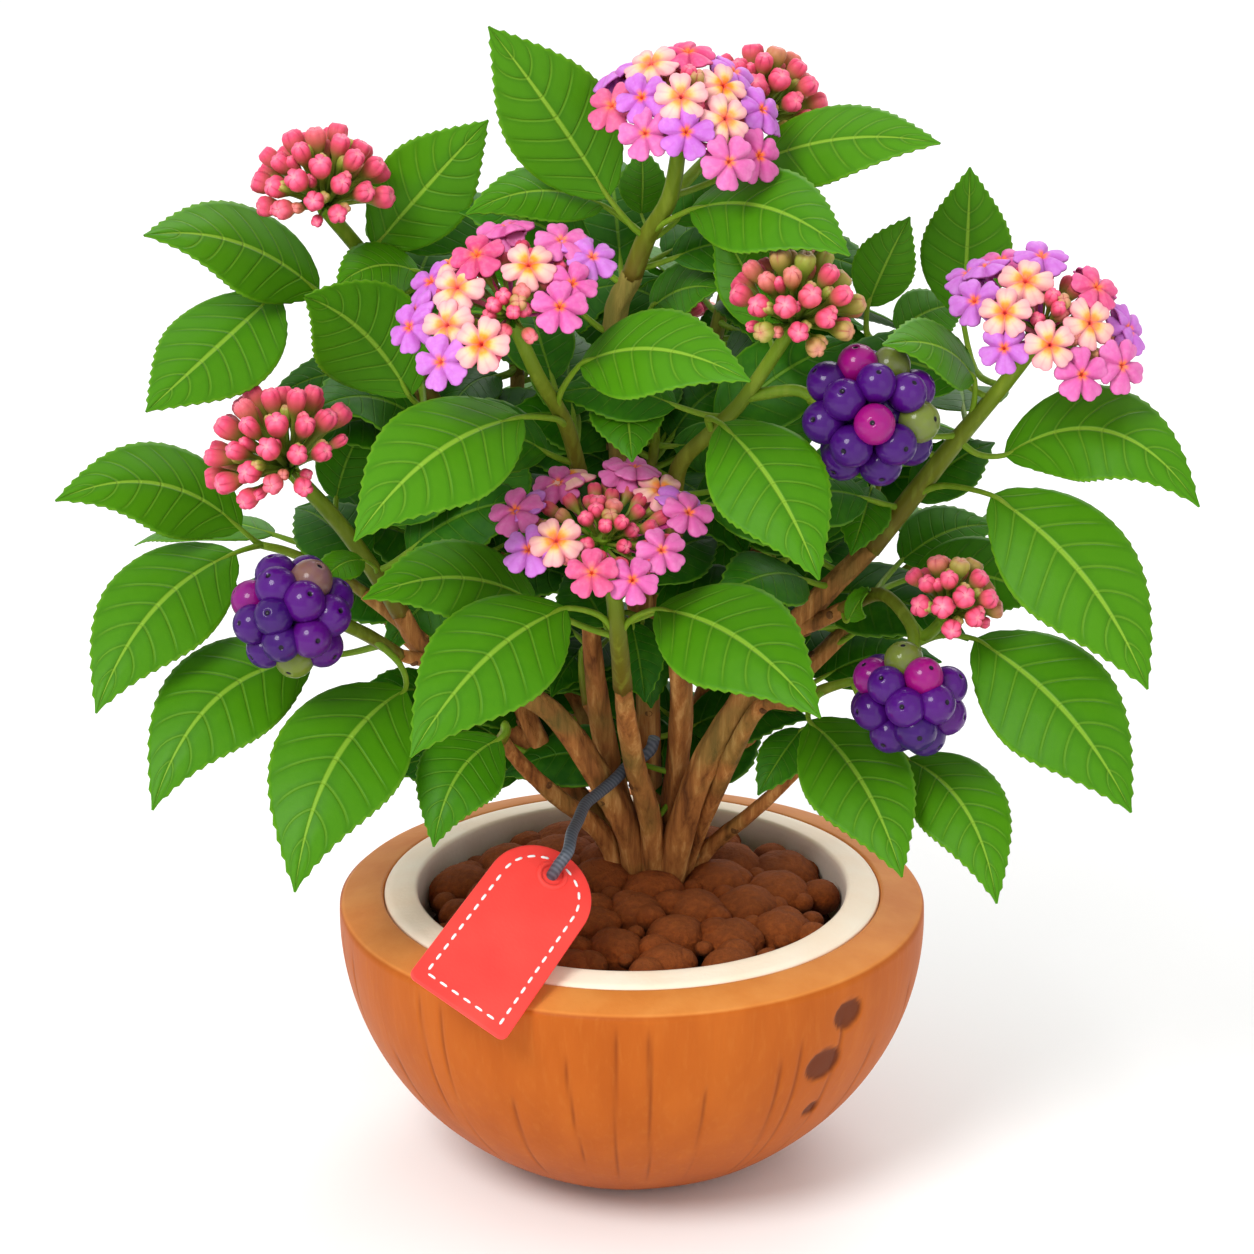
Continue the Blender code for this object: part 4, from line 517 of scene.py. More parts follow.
def lathe(form, profile, sides, centre, axis, values, slot=0, shape=None):
    """A turned form: profile is (radius, height) from pole to pole; shape bends (radius, turn, share)."""
    first, second = (Vector((1, 0, 0)), Vector((0, 1, 0))) if axis.z > 0.9999 else square_to(axis)
    rings, given = [], []
    for index, (radius, height) in enumerate(profile):
        share = index / (len(profile) - 1)
        rings.append([])
        for side in range(1 if radius < 1e-6 else sides):
            turn = 2 * pi * side / sides
            reach = radius if shape is None else shape(radius, turn, share)
            rings[-1].append(centre + axis * height + spoke_at(first, second, turn) * reach)
            given.append(values(turn, share))
    form.skin(rings, given, slot)


def stem(form, points, start_radius, end_radius, tone, slot, sides=12, steps=5, rough=0.0, square=0.0):
    """A round or squarish stem along a smooth curve, its bark uneven where rough is more than 0."""
    curve = smooth([Vector(point) for point in points], steps)
    last = len(curve) - 1
    across = square_to(curve[1] - curve[0])[0]
    rings, values = [[curve[0]]], [(0.0, 0.0, tone, 0.0)]
    for index, point in enumerate(curve):
        way = (curve[min(index + 1, last)] - curve[max(index - 1, 0)]).normalized()
        across = (across - way * across.dot(way)).normalized()
        other = way.cross(across)
        share = index / last
        radius = start_radius + (end_radius - start_radius) * share
        rings.append([])
        for side in range(sides):
            turn = 2 * pi * side / sides
            spoke = spoke_at(across, other, turn)
            ridge = rough * noise.noise(Vector((cos(turn) * 2.2, sin(turn) * 2.2,
                                                point.length * 0.045 + tone * 9)))
            ridge += 0.4 * rough * noise.noise(point * 0.35 + spoke * 1.3)
            rings[-1].append(point + spoke * radius * (1 + ridge + square * cos(4 * turn)))
            values.append((side / sides, share, tone, 0.0))
    rings.append([curve[-1] + (curve[-1] - curve[-2]).normalized() * end_radius * 0.5])
    values.append((0.0, 1.0, tone, 0.0))
    form.skin(rings, values, slot)
    return curve


def width_share(place):
    """How much of its full width a leaf has at a place from 0 at its base to 1 at its tip."""
    wave = sin(pi * min(max(place, 0.0), 1.0) ** 0.8)
    return max(wave, 0.0) ** (0.8 if place < 0.42 else 1.15)


def leaf_control(base, tip, bowed):
    """The control point of a leaf's midrib: it bows up and a little outwards, most where it lies level."""
    middle, chord = (base + tip) / 2, (tip - base).normalized()
    hint = Vector((middle.x, middle.y, 0)).normalized() * LEAF_OUTWARD + UP
    bow = (hint - chord * hint.dot(chord)).normalized()
    return middle + bow * (tip - base).length * LEAF_ARCH * bowed * sqrt(1 - chord.z ** 2)


def leaf_frame(base, tip, face, place, bowed=1.0):
    """Point, side and normal of a leaf's midrib at a place from its base, 0, to its tip, 1."""
    control = leaf_control(base, tip, bowed)
    point = base * (1 - place) ** 2 + control * (2 * place * (1 - place)) + tip * place ** 2
    way = ((control - base) * (1 - place) + (tip - control) * place).normalized()
    side = way.cross(face).normalized()
    return point, side, side.cross(way).normalized()


def vein_phase(across, place):
    """0 on a side vein, and up to 1 half way between two."""
    return (1 - cos(2 * pi * VEINS * (place * VEIN_STRETCH - VEIN_SWEEP * abs(across) ** VEIN_CURVE))) / 2


def blade(form, base, tip, width, face, tone, slot, teeth, bowed=1.0):
    """A leaf's blade: saw-toothed, folded at its midrib and raised between its veins, on both faces."""
    length = (tip - base).length
    steps = 2 * teeth + 2
    phase = tone * 20
    layers = [[], []]
    points, values = [], []
    for row in range(steps + 1):
        place = row / steps
        point, side, normal = leaf_frame(base, tip, face, place, bowed)
        way = normal.cross(side)
        half = width / 2 * width_share(place)
        tooth = 1 if row % 2 and 1 < row < steps - 1 else 0
        for layer in (0, 1):
            indices = []
            for across in LEAF_COLUMNS:
                reach, forward = across * half, 0.0
                if abs(across) == 1.0 and half > 0:
                    reach += copysign(TOOTH_REACH * tooth - TOOTH_NOTCH, across)
                    forward = length / steps * TOOTH_LEAN * tooth
                puff = vein_phase(across, place) * 4 * abs(across) * (1 - abs(across))
                lift = VEIN_PUFF * puff * sin(pi * place) * min(width / 20, 1.0)
                lift -= half * (LEAF_FOLD * abs(across) + LEAF_CURL * across * across)
                lift += LEAF_RIPPLE * half * abs(across) ** 3 * sin(9 * place + phase + across)
                thick = BLADE_HALF if layer == 0 else -BLADE_HALF
                if across == 0.0:
                    lift -= RIB_GROOVE if layer == 0 else RIB_RIDGE * (1 - place)
                points.append(point + side * reach + way * forward + normal * (lift + thick))
                indices.append(len(points) - 1)
                values.append((across, place, tone, float(layer)))
            layers[layer].append(indices)
    faces = rows_faces(layers[0], False)
    faces += [tuple(reversed(corners)) for corners in rows_faces(layers[1], False)]
    for edge in (0, -1):
        for near in range(steps):
            faces.append((layers[0][near][edge], layers[0][near + 1][edge],
                          layers[1][near + 1][edge], layers[1][near][edge]))
    form.add(points, faces, values, slot)


def leaf(form, root, base, tip, width, face, tone, slots, teeth=19, bowed=1.0):
    """A blade on its stalk."""
    face = Vector(face).normalized()
    blade(form, base, tip, width, face, tone, slots[0], teeth, bowed)
    _, side, normal = leaf_frame(base, tip, face, 0.0, bowed)
    way = normal.cross(side)
    reach = (base - root).length
    inside, _, rib = leaf_frame(base, tip, face, 0.12, bowed)
    bend = base - way * reach * 0.35
    thick = STALK_RADIUS if width > 12 else SMALL_STALK_RADIUS
    stem(form, [root, root.lerp(bend, 0.6), base, inside - rib * 0.5], thick, 0.55 * thick, tone=0.9,
         slot=slots[1], sides=8, steps=4)


def shifts():
    """The ways in which the solids' leaves may have been moved aside, least first."""
    choices = []
    for base_move in (0, -3, 3, -6, 6, -9, 9):
        for tip_move in (0, -4, 4, -8, 8, -12, 12, -16):
            for side_move in (0, -4, 4, -8, 8):
                cost = abs(base_move) + abs(tip_move - base_move) * 0.7 + abs(side_move) * 1.2
                choices.append((cost, base_move, tip_move, side_move))
    return sorted(choices)


def found_in_solid(tree, base, tip, face, bowed):
    """Where a planned leaf's base and tip lie in its solid, which may have moved them aside."""
    _, side, normal = leaf_frame(base, tip, face, 0.5, bowed)
    best = None
    for _, base_move, tip_move, side_move in SHIFTS:
        new_base = base + normal * base_move + side * side_move
        new_tip = tip + normal * tip_move + side * side_move
        miss = 0.0
        for place in (0.33, 0.68, 1.0):
            point, _, out = leaf_frame(new_base, new_tip, face, place, bowed)
            for thick in (LEAF_THICKNESS / 2, -LEAF_THICKNESS / 2):
                miss += min(tree.find(point + out * thick)[2], MISS_MOST)
        if best is None or miss < best[0] - MISS_STEP:
            best = (miss, new_base, new_tip)
        if miss < MISS_FOUND:
            break
    return best[1], best[2]


def along_stem(points, index):
    """The point on a stem at a whole or part number of its points."""
    whole = min(int(index), len(points) - 2)
    return points[whole].lerp(points[whole + 1], index - whole)


def back_leaves(points):
    """Three leaves on a shoot at the back: an opposite pair, and one that leans outwards above it."""
    outward = Vector((points[-1].x, points[-1].y, 0)).normalized()
    across = Vector((-outward.y, outward.x, 0))
    face = outward * 0.5 + Vector((0, 0, 0.86))
    leaves = []
    for index, spread, rise in ((1, across, 0.25), (1, -across, 0.25), (2, outward * 0.6, 0.15)):
        way = (spread + outward * 0.45 + Vector((0, 0, rise))).normalized()
        base = points[index] + way * BACK_STALK
        tip = base + way * BACK_LEAF_LENGTH - Vector((0, 0, BACK_LEAF_FALL))
        leaves.append((index, base, tip, BACK_LEAF_WIDTH, face))
    return leaves


def shoot_points(name):
    """A shoot's stem from just past its branch's end."""
    wood_end = Vector(WOOD[name][0][-1])
    points = [Vector(point) for point in SHOOTS[name]["stem"]]
    return [wood_end - (points[0] - wood_end).normalized() * GAP, *points]


def head_seat(name):
    """Where a stem ends under its head or inside its bunch."""
    if name in BERRY_BUNCHES:
        spec = BERRY_BUNCHES[name]
        return Vector(spec["centre"]) + Vector(spec["stalk"]).normalized() * (spec["radius"] - BERRY_SEAT)
    spec, seat = (OPEN_HEADS[name], HEAD_SEAT) if name in OPEN_HEADS else (BUD_HEADS[name], BUD_HEAD_SEAT)
    return Vector(spec["centre"]) - Vector(spec["axis"]).normalized() * seat


def share_out(point, middle, half):
    """How far out a point is in a rounded room: 0 at its middle and 1 at its edge."""
    off = point - middle
    return Vector((off.x / half[0], off.y / half[1], off.z / half[2])).length


def shaded_leaf_tone(base, tip):
    """How bright a leaf is painted: the ones deep inside the plant are darker, as painted shade."""
    return min(max(0.15 + 0.75 * share_out((base + tip) / 2, PLANT_MIDDLE, PLANT_HALF), 0.1), 0.95)


def shoot(name, materials):
    """A shoot's green stem, its twigs, and its leaves where the solid has them."""
    form = Form()
    points = shoot_points(name)
    end_radius = WOOD[name][2]
    head = HEAD_OF_STEM.get(name)
    route = [*points[:-1], head_seat(head)] if head else points
    stem(form, route, end_radius, 1.5 if head else 0.9, tone=0.35, slot=1, square=0.05, rough=0.1)
    for index, given in SHOOTS[name].get("twigs", []):
        twig = [points[index], *(Vector(point) for point in given[:-1]), head_seat(HEAD_OF_TWIG[name])]
        stem(form, twig, 1.4, 1.25, tone=0.75, slot=1, square=0.05, rough=0.08)
    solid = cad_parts["shoot_" + name]
    tree = KDTree(len(solid.data.vertices))
    for number, vertex in enumerate(solid.data.vertices):
        tree.insert(vertex.co / METRES, number)
    tree.balance()
    planned = back_leaves(points) if SHOOTS[name].get("rule") else SHOOTS[name]["leaves"]

    def planned_leaf(number, index, base, tip, width, face=FRONT_FACE, bowed=1.0):
        face = Vector(face).normalized()
        base, tip = found_in_solid(tree, Vector(base), Vector(tip), face, bowed)
        # Painted shade on leaves deep in the plant, with a little random tone
        tone = shaded_leaf_tone(base, tip) + 0.04 * sin(5 * number + base.x)
        teeth = next(count for over, count in LEAF_TEETH if width > over)
        leaf(form, along_stem(points, index), base, tip, width, face, tone, slots=(0, 1),
             teeth=teeth, bowed=bowed)

    for number, spec in enumerate(planned):
        planned_leaf(number, *spec)
    for root, base, tip, width in SMALL_LEAVES.get(name, []):
        leaf(form, Vector(root), Vector(base), Vector(tip), width, FRONT_FACE, tone=0.95, slots=(0, 1),
             teeth=7)
    form.make("shoot_" + name + "_leaves", materials, ["shoot_" + name])
    return form


def dome_lean(offset, axis, radius, height):
    """The way a head's dome faces at an offset from the middle of its base."""
    along = axis * offset.dot(axis)
    return (axis + (offset - along) * (2 * height / radius ** 2)).normalized()


def seen_on_dome(across, up, axis, radius, height):
    """The offset from a head's middle of the point on its dome that the front view shows there."""
    seen = Vector((across, 0, 0)) + VIEW_UP * up
    bend, facing, lift = height / radius ** 2, axis.dot(VIEW_OUT), axis.dot(seen)
    square = bend * (1 - facing ** 2)
    linear = facing * (1 - 2 * bend * lift)
    rest = bend * (seen.length_squared - lift ** 2) + lift - height
    depth = (sqrt(max(linear ** 2 - 4 * square * rest, 0.0)) - linear) / (2 * square)
    return seen + VIEW_OUT * depth


def on_dome(axis, polar, turn):
    """The way that leans from an axis by a polar angle, at a turn round it."""
    return (axis * cos(polar) + spoke_at(*square_to(axis), turn) * sin(polar)).normalized()


def dome_spots(count, widest):
    """Evenly spread (polar angle, turn) pairs over a dome, from the crown outwards."""
    spots = []
    for number in range(count):
        share = (number + 0.5) / count
        spots.append((acos(1 - share * (1 - cos(widest))), number * GOLDEN_ANGLE))
    return spots


def hidden_florets(axis, radius, count):
    """Offsets of the florets that the front view hides: round the back, or all round on a back head."""
    behind = (VIEW_OUT - axis * VIEW_OUT.dot(axis)).normalized() * -1
    aside = axis.cross(behind)
    offsets = []
    for number in range(count):
        turn = (number + 0.5 - count / 2) * (BACK_TURN if count == BACK_FLORETS else GOLDEN_ANGLE)
        reach = radius * (BACK_REACH if count == BACK_FLORETS else sqrt((number + 1) / count))
        offsets.append(spoke_at(behind, aside, turn) * reach)
    return offsets


def floret(form, middle, way, size, spin, tone, slot, root):
    """An open floret: five rounded, notched lobes round a throat, on a thin curved tube."""
    first, second = square_to(way)
    rings, values = [], []

    def ring(share, drop, under):
        rings.append([])
        for side in range(1 if share == 0.0 else FLORET_SPOKES):
            turn = 2 * pi * side / FLORET_SPOKES
            lobe = (5 * turn / (2 * pi) + 0.5) % 1.0 - 0.5
            out = abs(2 * lobe)
            edge = 0.56 + 0.44 * (1 - out ** 3.2) ** 0.7
            edge -= 0.07 * exp(-(lobe / 0.09) ** 2)
            reach = size * share * (edge if share > 0.2 else 0.62)
            wave = 0.06 * sin(3 * turn + 9 * tone) * size * share
            lift = 0.55 * (1 - out ** 2) * sin(pi * min(share, 0.85)) - share ** 2.5
            lift -= 0.5 * out ** 4 * share + 1.5 * exp(-(share / 0.11) ** 2) - wave
            spoke = spoke_at(first, second, turn + spin)
            rings[-1].append(middle + spoke * reach + way * (lift - drop))
            values.append((share, out, tone, under))

    for share in FLORET_RINGS:
        ring(share, 0.0, 0.0)
    for share, drop in ((1.0, 0.45), (0.7, 0.6), (0.24, 0.9)):
        ring(share, drop, 1.0)
    low = middle - way * FLORET_TUBE
    for point, radius in ((low, 0.75), (low.lerp(root, 0.5), 0.6), (root, 0.5)):
        turns = [2 * pi * side / FLORET_SPOKES + spin for side in range(FLORET_SPOKES)]
        rings.append([point + spoke_at(first, second, turn) * radius for turn in turns])
        values += [(1.0, 0.5, tone, 1.0)] * FLORET_SPOKES
    form.skin(rings, values, slot)


def bud(form, foot, tip, radius, tone, slot, spin=0.0, lobes=4):
    """A closed bud on its tube: a club with folded, creased lobes."""
    way = tip - foot
    reach = way.length

    def creased(size, turn, share):
        fold = abs(sin(lobes / 2 * (turn + spin)))
        return size * (1 - 0.42 * ease(0.45, 0.8, share) * (1 - fold) ** 2)

    profile = [(radius * wide, reach * high) for wide, high in BUD_PROFILE]
    lathe(form, profile, 24, foot, way.normalized(),
          lambda turn, share: (abs(sin(lobes / 2 * (turn + spin))), share, tone, 0.0), slot, creased)


def bracts(form, foot, axis, count, length, width, slot, rise):
    """Small pointed green bracts round the top of a stem."""
    first, second = square_to(axis)
    for number in range(count):
        turn = 2 * pi * number / count
        spoke = spoke_at(first, second, turn)
        base = foot + spoke * 0.8
        tip = foot + spoke * length * 0.8 + axis * length * rise
        blade(form, base, tip, width, (axis - spoke * 0.5).normalized(), BRACT_TONE, slot, BRACT_TEETH)


def open_head(name, materials):
    """A head in bloom: florets of four kinds over a dome, buds among them, a green foot below."""
    spec, kinds = OPEN_HEADS[name], FLORET_KINDS[name]
    centre, axis = Vector(spec["centre"]), Vector(spec["axis"]).normalized()
    radius, height, florets = spec["radius"], spec["height"], spec["florets"]
    form = Form()

    def domed(flat):
        """An offset in the base's plane, raised onto the dome."""
        return flat + axis * height * (1 - flat.length_squared / radius ** 2)

    offsets = [seen_on_dome(across, up, axis, radius, height) for across, up in florets]
    hidden = hidden_florets(axis, radius, BACK_FLORETS if florets else ROUND_FLORETS)
    offsets += [domed(flat) for flat in hidden]
    kinds += "".join(HIDDEN_KINDS[number % 5] for number in range(len(hidden)))
    foot = centre - axis * (HEAD_SEAT - HEAD_FOOT)
    for number, (offset, kind) in enumerate(zip(offsets, kinds)):
        facing = VIEW_OUT * FLORET_FACING if number < len(florets) else Vector((0, 0, 0))
        way = (dome_lean(offset, axis, radius, height) + facing).normalized()
        size = FLORET_RADIUS * (1 + 0.05 * sin(7 * number))
        floret(form, centre + offset + way * (FLORET_TIER * (number % 3)), way, size, spin=0.7 * number,
               tone=0.5 + 0.4 * sin(3.1 * number + centre.x), slot="LMPC".index(kind),
               root=foot + offset * 0.12)
    bud_count = 3 * spec["buds"] + OUTER_BUDS
    for number in range(bud_count):
        inner = number < spec["buds"]
        turn = number * GOLDEN_ANGLE
        if inner:
            reach = spec["bud_reach"] * sqrt((number + 0.5) / spec["buds"])
            across, up = spec["bud_middle"]
            offset = seen_on_dome(across + reach * cos(turn), up + 0.7 * reach * sin(turn),
                                  axis, radius, height)
            size = BUD_RADIUS * (0.72 - 0.06 * (number % 3))
            tip = centre + offset + axis * (1.0 + 0.5 * (number % 2))
        else:
            spot = radius * 0.9 * sqrt((number + 0.5) / bud_count)
            offset = domed(spoke_at(*square_to(axis), turn) * spot)
            size, tip = BUD_RADIUS * 0.62, centre + offset - axis * 1.6
        tone = 0.2 + 0.6 * ((number * 0.37) % 1)
        bud(form, foot + offset * 0.15, tip, size, tone, slot=4, spin=turn)
    stem(form, [foot - axis * 1.5, foot + axis * 0.5, foot + axis * 2.2], 1.9, 2.6, tone=0.8, slot=5,
         sides=14)
    bracts(form, foot, axis, count=8, length=7.0, width=2.2, slot=6, rise=0.15)
    form.make(name + "_florets", materials, [name])
    return form


def bud_head(name, materials):
    """A young head: closed buds on tubes that spread from the stem's end, small ones between."""
    spec = BUD_HEADS[name]
    centre, axis, radius = Vector(spec["centre"]), Vector(spec["axis"]).normalized(), spec["radius"]
    form = Form()
    foot = centre - axis * (BUD_HEAD_SEAT - BUD_HEAD_FOOT)
    count = round(BUDS_SHOWN * spec["buds"])
    for number, (polar, turn) in enumerate(dome_spots(count, radians(84))):
        reach = radius * (1.0 - 0.05 * (1 + sin(3.3 * number)))
        tip = centre + on_dome(axis, polar, turn) * reach
        size = BUD_RADIUS * (0.86 + 0.1 * sin(5 * number))
        grown = (0.3 + 0.65 * ((number * 0.41) % 1)) * YOUNG_HEADS.get(name, 1.0)
        bud(form, foot + (tip - foot) * 0.08, tip, size, grown, slot=0, spin=turn, lobes=5)
    for number, (polar, turn) in enumerate(dome_spots(count, radians(90))):
        reach = radius * (0.78 + 0.08 * sin(3 * number))
        tip = centre + on_dome(axis, polar, turn + 1.1) * reach
        grown = (number * 0.29) % 1 * 0.5
        bud(form, foot + (tip - foot) * 0.1, tip, BUD_RADIUS * 0.5, grown, slot=0, spin=turn)
    stem(form, [foot - axis * 1.5, foot + axis * 0.5, foot + axis * 2.0], 1.7, 2.4, tone=0.8, slot=1,
         sides=14)
    bracts(form, foot, axis, count=7, length=0.42 * radius, width=2.0, slot=2, rise=0.25)
    form.make(name + "_buds", materials, [name])
    return form


def berry_bunch(name, materials):
    """Glossy berries round the end of a stalk, most of them ripe, on short green pedicels."""
    spec = BERRY_BUNCHES[name]
    centre, stalk, radius = Vector(spec["centre"]), Vector(spec["stalk"]).normalized(), spec["radius"]
    form = Form()
    count, reach = spec["count"] + MORE_BERRIES, radius - BERRY_RADIUS
    ways = [on_dome(stalk, acos(-1 + (number + 0.5) / count * BERRY_SPREAD), number * GOLDEN_ANGLE)
            for number in range(count)]
    tones = [0.08 + 0.3 * ((number * 0.37) % 1) for number in range(count)]
    for (across, up), tone in UNRIPE[name]:
        seen = [hypot(way.x * reach - across, way.dot(VIEW_UP) * reach - up)
                + (100 if way.dot(VIEW_OUT) < 0 else 0) for way in ways]
        tones[seen.index(min(seen))] = tone
    for number, (way, tone) in enumerate(zip(ways, tones)):
        size = BERRY_RADIUS * (1.0 + 0.05 * sin(4 * number + centre.z))
        profile = [(wide * size, high * size) for wide, high in BERRY_PROFILE]
        out = (way + VIEW_OUT * 0.35 + Vector((0.3 * sin(9 * number), 0, 0.3))).normalized()
        lathe(form, profile, 28, centre + way * reach, out,
              lambda turn, share, tone=tone: (0.0, share, tone, 0.0))
        lathe(form, profile, 16, centre + way * reach * 0.35, -out,
              lambda turn, share: (0.0, share, 0.0, 0.0))
        stem(form, [centre + stalk * 2, centre + way * reach * 0.5, centre + way * (reach - 1)], 0.7, 0.6,
             tone=0.7, slot=1, sides=6, steps=2)
    stem(form, [centre + stalk * (radius - 0.5), centre + stalk * radius * 0.4, centre], 1.5, 1.3,
         tone=0.7, slot=1)
    form.make(name + "_fruit", materials, [name])
    return form


def shell_marks(turn, height, grooves):
    """How deep a place on the shell lies in one of its grooves, and in one of its three eyes."""
    groove = 0.0
    for middle, width, low, high, lean in grooves:
        off = (turn - middle - lean * (height - high) + pi) % (2 * pi) - pi
        wide = width * (0.35 + 0.65 * ease(low, high, height))
        along = ease(low, low + 9, height) * (1 - ease(high - 6, high, height))
        groove = max(groove, along * exp(-(off * POT_RADIUS / wide) ** 2))
    eye = 0.0
    for degrees, eye_height, size in SHELL_EYES:
        off = (turn - radians(degrees - 90) + pi) % (2 * pi) - pi
        reach = hypot(off * 60 * EYE_SQUEEZE[0], (height - eye_height) * EYE_SQUEEZE[1])
        eye = max(eye, 1 - ease(size * 0.9, size * 1.1, reach))
    return groove, eye


def pot():
    """The shell: a fine turned form with shallow grooves, three eyes and a rounded rim."""
    chance = random.Random(5)
    grooves = []
    for number in range(GROOVE_COUNT):
        middle = 2 * pi * (number + chance.uniform(-0.32, 0.32)) / GROOVE_COUNT
        low = chance.choice((2, 3, 5, 9))
        grooves.append((middle, chance.uniform(0.35, 0.6), low, min(low + chance.uniform(32, 60), 60.5),
                        chance.uniform(-0.0012, 0.0012)))
    foot, top = (acos((POT_CENTRE - height) / POT_HALF_HEIGHT) for height in (0, POT_TOP - 0.8))
    profile = [*SHELL_FOOT]
    for ring in range(1, SHELL_RINGS + 1):
        turn = foot + (top - foot) * ring / SHELL_RINGS
        profile.append((POT_RADIUS * sin(turn), POT_CENTRE - POT_HALF_HEIGHT * cos(turn)))
    wall = len(profile)
    profile += SHELL_RIM
    rings, values = [], []
    for index, (radius, height) in enumerate(profile):
        rim = 1.0 if index > wall else 0.0
        rings.append([])
        for side in range(SHELL_SIDES if radius else 1):
            turn = 2 * pi * side / SHELL_SIDES
            groove, eye = shell_marks(turn, height, grooves) if 2 < index < wall else (0.0, 0.0)
            spoke = Vector((cos(turn), sin(turn), 0))
            swell = SHELL_SWELL * noise.noise(spoke * 2.3 + Vector((0, 0, height * 0.02)))
            reach = radius - GROOVE_DEPTH * groove - EYE_DEPTH * eye + (swell if 5 < index < wall else 0.0)
            rings[-1].append(spoke * reach + Vector((0, 0, height)))
            values.append((groove, eye, rim, height / POT_TOP))
    form = Form()
    form.skin(rings, values)
    form.make("coconut_shell_half", [shell_material()], ["pot_shell"])


def lining():
    """The flesh: its flat rim gently rounded, and its inner wall down to the soil and past it."""
    profile = [*FLESH_RIM]
    for angle in (87, 84, 80, 75, 70, 60):
        turn = radians(angle)
        profile.append((BOWL_RADIUS * sin(turn), BOWL_TOP - BOWL_RADIUS * cos(turn)))
    form = Form()

    def uneven(radius, turn, share):
        spoke = Vector((cos(turn), sin(turn), share))
        return radius + 0.12 * noise.noise(spoke * 4) * ease(0.1, 0.4, share)

    lathe(form, profile, LINING_SIDES, ORIGIN, UP,
          lambda turn, share: (0.0, share, 0.0, 0.0), shape=uneven)
    form.make("coconut_flesh_lining", [flesh_material()], ["pot_lining"])


def lump(form, middle, size, flat, seed, tone):
    """One rounded clod of soil, kept inside the bowl."""
    shape = bmesh.new()
    bmesh.ops.create_icosphere(shape, subdivisions=4 if size > 6 else 3, radius=1.0)
    points, values = [], []
    for vertex in shape.verts:
        way = vertex.co.normalized()
        rough = 1 + 0.07 * noise.noise(way * 1.4 + Vector((seed, 0, 0)))
        rough += 0.025 * noise.noise(way * 4.5 + Vector((0, seed, 0))) + 0.018 * noise.noise(way * 13)
        point = middle + Vector((way.x * size, way.y * size, way.z * size * flat)) * rough
        wide = hypot(point.x, point.y)
        room = BOWL_RADIUS - SOIL_GAP
        if wide > room:
            point.x, point.y = point.x * room / wide, point.y * room / wide
        points.append(point)
        # The first value, the point's up share, gives painted light on the clod's top and painted shade
        # beneath
        values.append((way.z, 0.0, tone, 0.0))
    form.add(points, [tuple(vertex.index for vertex in face.verts) for face in shape.faces], values)
    shape.free()


def soil():
    """Rounded clods on a low mound, smaller crumbs between them, over a bed darkened with painted shade."""
    form = Form()
    # The bed's first value, -1, gives it the darkest painted shade
    lathe(form, BED, 60, ORIGIN, UP, lambda turn, share: (-1.0, 0.0, 0.3, 0.0))

    def mound(x, y):
        """The height of the soil's low mound."""
        return MOUND_EDGE + MOUND_RISE * (1 - (x * x + y * y) / BOWL_RADIUS ** 2)

    for number in range(CLOD_COUNT):
        reach = CLOD_SPREAD * sqrt((number + 0.5) / CLOD_COUNT)
        x, y = reach * cos(number * GOLDEN_ANGLE), reach * sin(number * GOLDEN_ANGLE)
        size = CLOD_RADIUS * (1 + 0.13 * sin(2.4 * number))
        if hypot((x - COLLAR_MIDDLE.x) / COLLAR_HALF[0], (y - COLLAR_MIDDLE.y) / COLLAR_HALF[1]) > 0.75:
            lump(form, Vector((x, y, mound(x, y) - 1.0)), size * 0.92, flat=0.84, seed=number * 1.7,
                 tone=(number * 0.37) % 1)
    for number in range(CRUMB_COUNT):
        reach = (BOWL_RADIUS - 3.0) * sqrt((number + 0.5) / CRUMB_COUNT)
        turn = number * GOLDEN_ANGLE + 1.3
        x, y = reach * cos(turn), reach * sin(turn)
        size = CRUMB_RADIUS * (1 + 0.4 * sin(3.7 * number))
        lump(form, Vector((x, y, mound(x, y) + 1.0)), size, flat=0.85, seed=40 + number * 0.9,
             tone=(number * 0.61) % 1)
    form.make("soil_clods", [soil_material()], ["soil"])


def wood():
    """The root collar and every branch, with ridged bark and small knots."""
    form = Form()

    def lumpy(radius, turn, share):
        spoke = Vector((cos(turn), sin(turn), 0))
        flat = hypot(COLLAR_HALF[0] * spoke.x, COLLAR_HALF[1] * spoke.y) / COLLAR_HALF[0]
        return radius * flat * (1 + 0.16 * noise.noise(spoke * 2.8 + Vector((0, 0, share))))

    middle = Vector((*COLLAR_MIDDLE, 0))
    lathe(form, COLLAR, 72, middle, UP, lambda turn, share: (turn, 0.0, 0.4, 0.0), shape=lumpy)
    for number, (points, start_radius, end_radius) in enumerate(WOOD.values()):
        tone = (number * 0.37) % 1
        curve = stem(form, points, start_radius, end_radius, tone, slot=0, sides=22, steps=9, rough=0.24)
        for knot in range(BARK_KNOTS):
            place = int(len(curve) * (0.3 + 0.2 * knot + 0.06 * sin(number * 3 + knot)))
            place = min(place, len(curve) - 2)
            way = (curve[place + 1] - curve[place]).normalized()
            out = spoke_at(*square_to(way), number * 1.9 + knot * 2.3).normalized()
            radius = start_radius + (end_radius - start_radius) * place / len(curve)
            lathe(form, KNOT_BUMP, 10, curve[place] + out * (radius - 0.1), out,
                  lambda turn, share: (0.0, share, 0.1, 1.0))
    form.make("woody_branches", [bark_material()], ["woody_stems"])


def tag_frame():
    """The tag's axes: along it to its square end, across it, and out of its face."""
    side = (TAG_SIDE_HINT - TAG_WAY * TAG_SIDE_HINT.dot(TAG_WAY)).normalized()
    return TAG_WAY, side, TAG_WAY.cross(side).normalized()


